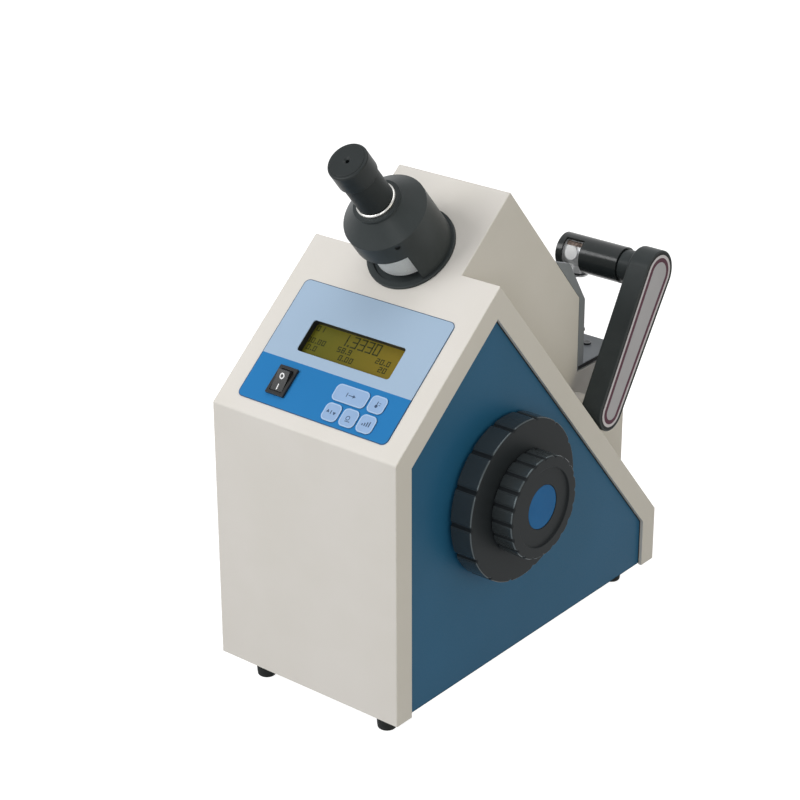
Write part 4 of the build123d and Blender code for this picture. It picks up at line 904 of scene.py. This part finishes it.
def scalloped(radius, grooves, depth, share, count):
    """Radii round a knob: the radius falls by the depth times a raised cosine inside each groove,
    and is full between grooves."""
    t = np.arange(count) * 2 * pi / count
    phase = np.mod(t * grooves / (2 * pi) + 0.5, 1.0) - 0.5
    dip = np.where(np.abs(phase) < share / 2, 0.5 + 0.5 * np.cos(2 * pi * phase / share), 0.0)
    return radius - depth * dip


def polar(rings):
    """Rings that needn't be round: each has one radius per angle t, or one for all, and a height,
    and its points are (r cos t, r sin t, height)."""
    count = max(np.size(radii) for radii, height in rings)
    ring = circle(1.0, count)
    grid = np.zeros((len(rings), count, 3))
    for row, (radii, height) in zip(grid, rings):
        row[:, :2] = ring * np.broadcast_to(radii, count)[:, None]
        row[:, 2] = height
    return quads(grid)


def knob_body(radii, length, face):
    """Rings from the hollow back round the grooved rim, over the soft front edge and across the
    face, which is a list of radii and heights."""
    t = np.linspace(0, pi / 2, 7)
    back = [(4.0, 4.0), (4.0, 0.5), (3.5, 0.0), (0.6, 0.0), (0.0, 0.6)]
    front = zip(KNOB_EDGE * (1 - np.cos(t)), length - KNOB_EDGE + KNOB_EDGE * np.sin(t))
    rings = [(radii - inset, height) for inset, height in [*back, *front]]
    return polar(rings + face)


COARSE_BACK, COARSE_LENGTH = 89.0, 19.7
FINE_BACK, FINE_LENGTH = 109.0, 19.2
# The fine knob's face is a shallow dish with a pocket for the blue disc
DISH_RADIUS, POCKET_RADIUS, DISC_RADIUS, DISC_THICKNESS = 31.4, 17.9, 17.6, 1.0
DISH_FLOOR = FINE_LENGTH - 1.6
DISC_FACE = DISH_FLOOR - 0.4
coarse_radii = scalloped(COARSE_RADIUS, grooves=14, depth=1.4, share=0.24, count=840)
fine_radii = scalloped(FINE_RADIUS, grooves=20, depth=1.2, share=0.5, count=800)
coarse_face = [(60.0, COARSE_LENGTH), (20.0, COARSE_LENGTH)]
dish = [
    (DISH_RADIUS + 1.1, FINE_LENGTH),
    (DISH_RADIUS + 0.7, FINE_LENGTH - 0.3),
    (DISH_RADIUS + 0.4, DISH_FLOOR + 0.3),
    (DISH_RADIUS, DISH_FLOOR),
]
pocket = [
    (POCKET_RADIUS + 0.3, DISH_FLOOR),
    (POCKET_RADIUS, DISH_FLOOR - 0.3),
    (POCKET_RADIUS, DISC_FACE - 0.6),
]
piece(
    "coarse_knob_finished",
    [knob_body(coarse_radii, COARSE_LENGTH, coarse_face)],
    shifted(KNOB, z=COARSE_BACK),
    coarse_abs,
    "coarse",
    ["coarse_knob"],
)
piece(
    "fine_knob_finished",
    [knob_body(fine_radii, FINE_LENGTH, dish + pocket)],
    shifted(KNOB, z=FINE_BACK),
    fine_abs,
    "fine",
    ["fine_knob"],
)
disc_corners = [(0, -DISC_THICKNESS), (DISC_RADIUS, -DISC_THICKNESS), (DISC_RADIUS, 0), (0, 0)]
disc_profile = rounded(disc_corners, 0.2, closed=False)
piece(
    "knob_disc_finished",
    [turned(disc_profile)],
    shifted(KNOB, z=FINE_BACK + DISC_FACE),
    blue_lacquer,
    "fine",
    ["knob_disc"],
)

# Eyepiece: radii, and heights above the slope along its own axis
TUBE_BORE, FLANGE_RADIUS, FLANGE_LIP, COLLAR_RADIUS = 17.1, 36.7, 31.4, 20.1
FLANGE_FLOOR, FLANGE_TOP, COLLAR_TOP = 0.8, 2.4, 4.65
flange_profile = rounded(
    [
        (TUBE_BORE, 0),
        (FLANGE_RADIUS, 0),
        (FLANGE_RADIUS, FLANGE_TOP),
        (FLANGE_LIP, FLANGE_TOP),
        (FLANGE_LIP, FLANGE_FLOOR),
        (COLLAR_RADIUS, FLANGE_FLOOR),
        (COLLAR_RADIUS, COLLAR_TOP),
        (TUBE_BORE, COLLAR_TOP),
    ],
    [0.1, 0.1, 0.8, 0.3, 0.3, 0.3, 0.2, 0.2],
)
piece(
    "eyepiece_flange_finished",
    [turned(flange_profile, 128, loop=True)],
    EYE,
    black_anodised,
    "stand",
    ["eyepiece_flange"],
)
LIGHT_PATH, STEM_RADIUS, BARREL_RADIUS = 8.6, 11.6, 14.6
STEM_LOW, BARREL_LOW, BARREL_TOP, CAP_TOP = 43.15, 67.15, 96.85, 114.85
barrel_profile = rounded(
    [
        (LIGHT_PATH, STEM_LOW),
        (STEM_RADIUS, STEM_LOW),
        (STEM_RADIUS, BARREL_LOW),
        (BARREL_RADIUS, BARREL_LOW),
        (BARREL_RADIUS, BARREL_TOP),
        (LIGHT_PATH, BARREL_TOP),
    ],
    [0.2, 0.3, 0.2, 0.6, 0.2, 0.1],
)
piece(
    "eyepiece_barrel_finished",
    [turned(barrel_profile, loop=True)],
    EYE,
    blasted_black,
    "eyepiece",
    ["eyepiece_barrel"],
)
# The eye cap has a raised face and a small hole with a sloping mouth
CAP_RADIUS, FACE_RADIUS, MOUTH_RADIUS, EYE_HOLE = 16.2, 13.4, 3.2, 1.5
CAP_FACE, MOUTH_LOW, CAP_INSIDE = CAP_TOP + 0.6, CAP_TOP - 0.5, CAP_TOP - 3.0
cap_profile = rounded(
    [
        (LIGHT_PATH, BARREL_TOP),
        (CAP_RADIUS, BARREL_TOP),
        (CAP_RADIUS, CAP_TOP),
        (FACE_RADIUS + 0.3, CAP_TOP),
        (FACE_RADIUS, CAP_FACE),
        (MOUTH_RADIUS, CAP_FACE),
        (EYE_HOLE, MOUTH_LOW),
        (EYE_HOLE, CAP_INSIDE),
        (LIGHT_PATH, CAP_INSIDE),
    ],
    [0.1, 0.5, 1.6, 0.15, 0.3, 0.5, 0.2, 0.1, 0.1],
)
piece(
    "eyepiece_cap_finished",
    [turned(cap_profile, loop=True)],
    EYE,
    cap_abs,
    "eyepiece",
    ["eyepiece_cap"],
)

# Lamp arm: a plate with a soft inner edge, and the boss that the lamp turns in
PIVOT_RADIUS, HEAD_RADIUS, ARM_DEPTH = 16.4, 19.8, 20.0
BOSS_BORE, BOSS_RADIUS, BOSS_END, BOSS_ROOT = 8.1, 13.6, -12.5, 1.0
arm_outline = stadium(PIVOT_RADIUS, HEAD_RADIUS, ARM_LENGTH)
arm_plate = carried(arm_outline, soft_edge(0, ARM_DEPTH, 1.0, 3.0, 7))
boss_profile = rounded(
    [
        (BOSS_BORE, BOSS_END),
        (BOSS_RADIUS, BOSS_END),
        (BOSS_RADIUS, BOSS_ROOT),
        (BOSS_BORE, BOSS_ROOT),
    ],
    [0.1, 0.8, 0.1, 0.1],
)
arm_boss = at(turned(boss_profile, loop=True), shifted(ARM, y=ARM_LENGTH), ARM)
arm_parts = [arm_plate, arm_boss]
piece("lamp_arm_finished", arm_parts, ARM, black_anodised, "arm", ["lamp_arm"])
# Layers on the arm's face, each inside the last and a little higher
for name, inset, proud, material in (
    ("arm_black_film", 1.2, 0.03, black_film),
    ("arm_outline_print", 3.6, 0.06, pale_print),
    ("arm_maroon_print", 6.1, 0.12, maroon_print),
    ("arm_inlay_finished", 9.6, 0.18, silver_film),
):
    outline = stadium(PIVOT_RADIUS - inset, HEAD_RADIUS - inset, ARM_LENGTH)
    layer = carried(outline, soft_edge(ARM_DEPTH - 1.0, ARM_DEPTH + proud, 0.05, steps=1))
    replaced = ["arm_inlay"] if name == "arm_inlay_finished" else []
    piece(name, [layer], ARM, material, "arm", replaced)

# Lamp window: a copper strip over the core's upper front, and a black ring round the lens barrel
HOLDER_RADIUS, LAMP_MIDDLE, LENS_BARREL_RADIUS, TUBE_RADIUS = 11.4, 11.9, 7.6, 15.1
STRIP_ANGLES, STRIP_ENDS = (47, 67), (4.0, 20.0)


def arc_strip(inner, outer, low, high):
    """Outline of a bent strip: two arcs about the lamp's axis between two angles in degrees above
    the forward direction, which is the local -x."""
    t = np.radians(np.linspace(low, high, 12))
    around = np.stack([-np.cos(t), np.sin(t)], 1)
    return np.vstack([outer * around, inner * around[::-1]])


strip_outline = arc_strip(HOLDER_RADIUS - 0.2, HOLDER_RADIUS + 0.7, *STRIP_ANGLES)
strip = carried(strip_outline, [(0, end) for end in STRIP_ENDS])
piece("lamp_contact_strip", [strip], LAMP, lacquered_copper, "lamp")
ring_in, ring_out = LENS_BARREL_RADIUS - 0.2, LENS_BARREL_RADIUS + 0.3
ring_near, ring_far = TUBE_RADIUS + 0.2, TUBE_RADIUS + 1.9
ring_profile = [
    (ring_in, ring_near),
    (ring_out, ring_near),
    (ring_out, ring_far),
    (ring_in, ring_far),
]
barrel_ring = turned(rounded(ring_profile, 0.15, 3), 64, loop=True)
BELOW_LAMP = place((0, 1, 0), (0, 0, -1), LAMP_MIDDLE, *joint_place("lamp_turn"))
piece("lens_barrel_ring", [barrel_ring], BELOW_LAMP, core_steel, "lamp")

# Floor, light and camera
WHITE = (1, 1, 1, 1)


def background_sight(tree):
    """1 where the camera, gloss or glass sees the background, and 0 where it only lights."""
    sight = add(tree, "ShaderNodeLightPath")
    seen = sight.outputs["Is Camera Ray"]
    for other in ("Is Glossy Ray", "Is Transmission Ray"):
        either = {0: seen, 1: sight.outputs[other]}
        seen = add(tree, "ShaderNodeMath", either, operation="MAXIMUM").outputs["Value"]
    return seen


def stage_floor(half_size, glow):
    """A wide grey plane. Where the camera, gloss or glass sees it, it glows most of the way to
    white, and the rest is lit, so that it keeps a trace of the object's shadow."""
    material = bpy.data.materials.new("studio_floor")
    material.use_nodes = True
    tree = material.node_tree
    tree.nodes.clear()
    seen = background_sight(tree)
    shine = add(tree, "ShaderNodeEmission", {"Color": WHITE, "Strength": glow}).outputs["Emission"]
    matt = add(tree, "ShaderNodeBsdfDiffuse", {"Color": linear("#B4B4B4")}).outputs["BSDF"]
    both = add(tree, "ShaderNodeAddShader", {0: shine, 1: matt}).outputs["Shader"]
    choice = add(tree, "ShaderNodeMixShader", {0: seen, 1: matt, 2: both}).outputs["Shader"]
    add(tree, "ShaderNodeOutputMaterial", {"Surface": choice})
    mesh = bpy.data.meshes.new("studio_floor")
    signs = ((-1, -1), (1, -1), (1, 1), (-1, 1))
    corners = [(half_size * x, half_size * y, 0) for x, y in signs]
    mesh.from_pydata(corners, [], [(0, 1, 2, 3)])
    mesh.materials.append(material)
    floor = bpy.data.objects.new("studio_floor", mesh)
    bpy.context.scene.collection.objects.link(floor)


def studio_world(ambient):
    """White where the camera, gloss or glass sees it, and a plain soft light elsewhere."""
    world = bpy.data.worlds.new("studio")
    bpy.context.scene.world = world
    world.use_nodes = True
    tree = world.node_tree
    tree.nodes.clear()
    seen = background_sight(tree)
    white, soft = [
        add(tree, "ShaderNodeBackground", {"Color": WHITE, "Strength": level}).outputs["Background"]
        for level in (1.0, ambient)
    ]
    choice = add(tree, "ShaderNodeMixShader", {0: seen, 1: soft, 2: white}).outputs["Shader"]
    add(tree, "ShaderNodeOutputWorld", {"Surface": choice})


def softbox(name, where, toward, size, power, colour=(1.0, 1.0, 1.0)):
    """A square area lamp that faces a point, in metres and watts."""
    data = bpy.data.lights.new(name, "AREA")
    data.shape = "SQUARE"
    data.size = size
    data.energy = power
    data.color = colour
    lamp = bpy.data.objects.new(name, data)
    bpy.context.scene.collection.objects.link(lamp)
    lamp.location = where
    lamp.rotation_mode = "QUATERNION"
    lamp.rotation_quaternion = (Vector(toward) - Vector(where)).to_track_quat("-Z", "Y")


def photo_camera(where, azimuth, elevation, roll, lens):
    """A camera at a point in metres. It looks along the azimuth and elevation and is rolled, all
    in degrees, with a lens in millimetres on a full frame."""
    azimuth, elevation, roll = radians(azimuth), radians(elevation), radians(roll)
    level = cos(elevation)
    behind = np.array([sin(azimuth) * level, -cos(azimuth) * level, sin(elevation)])
    across = np.array([cos(azimuth), sin(azimuth), 0.0])
    upward = np.cross(behind, across)
    right = cos(roll) * across + sin(roll) * upward
    top = -sin(roll) * across + cos(roll) * upward
    data = bpy.data.cameras.new("photo_camera")
    data.lens = lens
    data.sensor_width = 36.0
    data.clip_start, data.clip_end = 0.05, 50.0
    camera = bpy.data.objects.new("photo_camera", data)
    bpy.context.scene.collection.objects.link(camera)
    m = np.eye(4)
    m[:3, 0], m[:3, 1], m[:3, 2], m[:3, 3] = right, top, behind, where
    camera.matrix_world = Matrix(m.tolist())
    bpy.context.scene.camera = camera


stage_floor(6.0, 0.9)
studio_world(0.34)
softbox("key_softbox", (-1.3, -2.4, 1.8), (0, 0, 0.25), 1.6, 50.0)
softbox("top_softbox", (0.1, 0.1, 2.6), (0, 0, 0.2), 1.6, 17.0)
softbox("front_fill", (1.6, -2.6, 1.2), (0, 0, 0.2), 1.0, 14.0)
softbox("side_fill", (2.6, 0.1, 0.55), (0, 0, 0.2), 1.6, 12.0, (1.0, 0.92, 0.62))
# The photograph's camera, fitted to its edges
photo_camera((1.024248, -1.305982, 0.956061), 39.39, 24.36, -0.20, 103.06)
bpy.context.scene.view_settings.view_transform = "Standard"
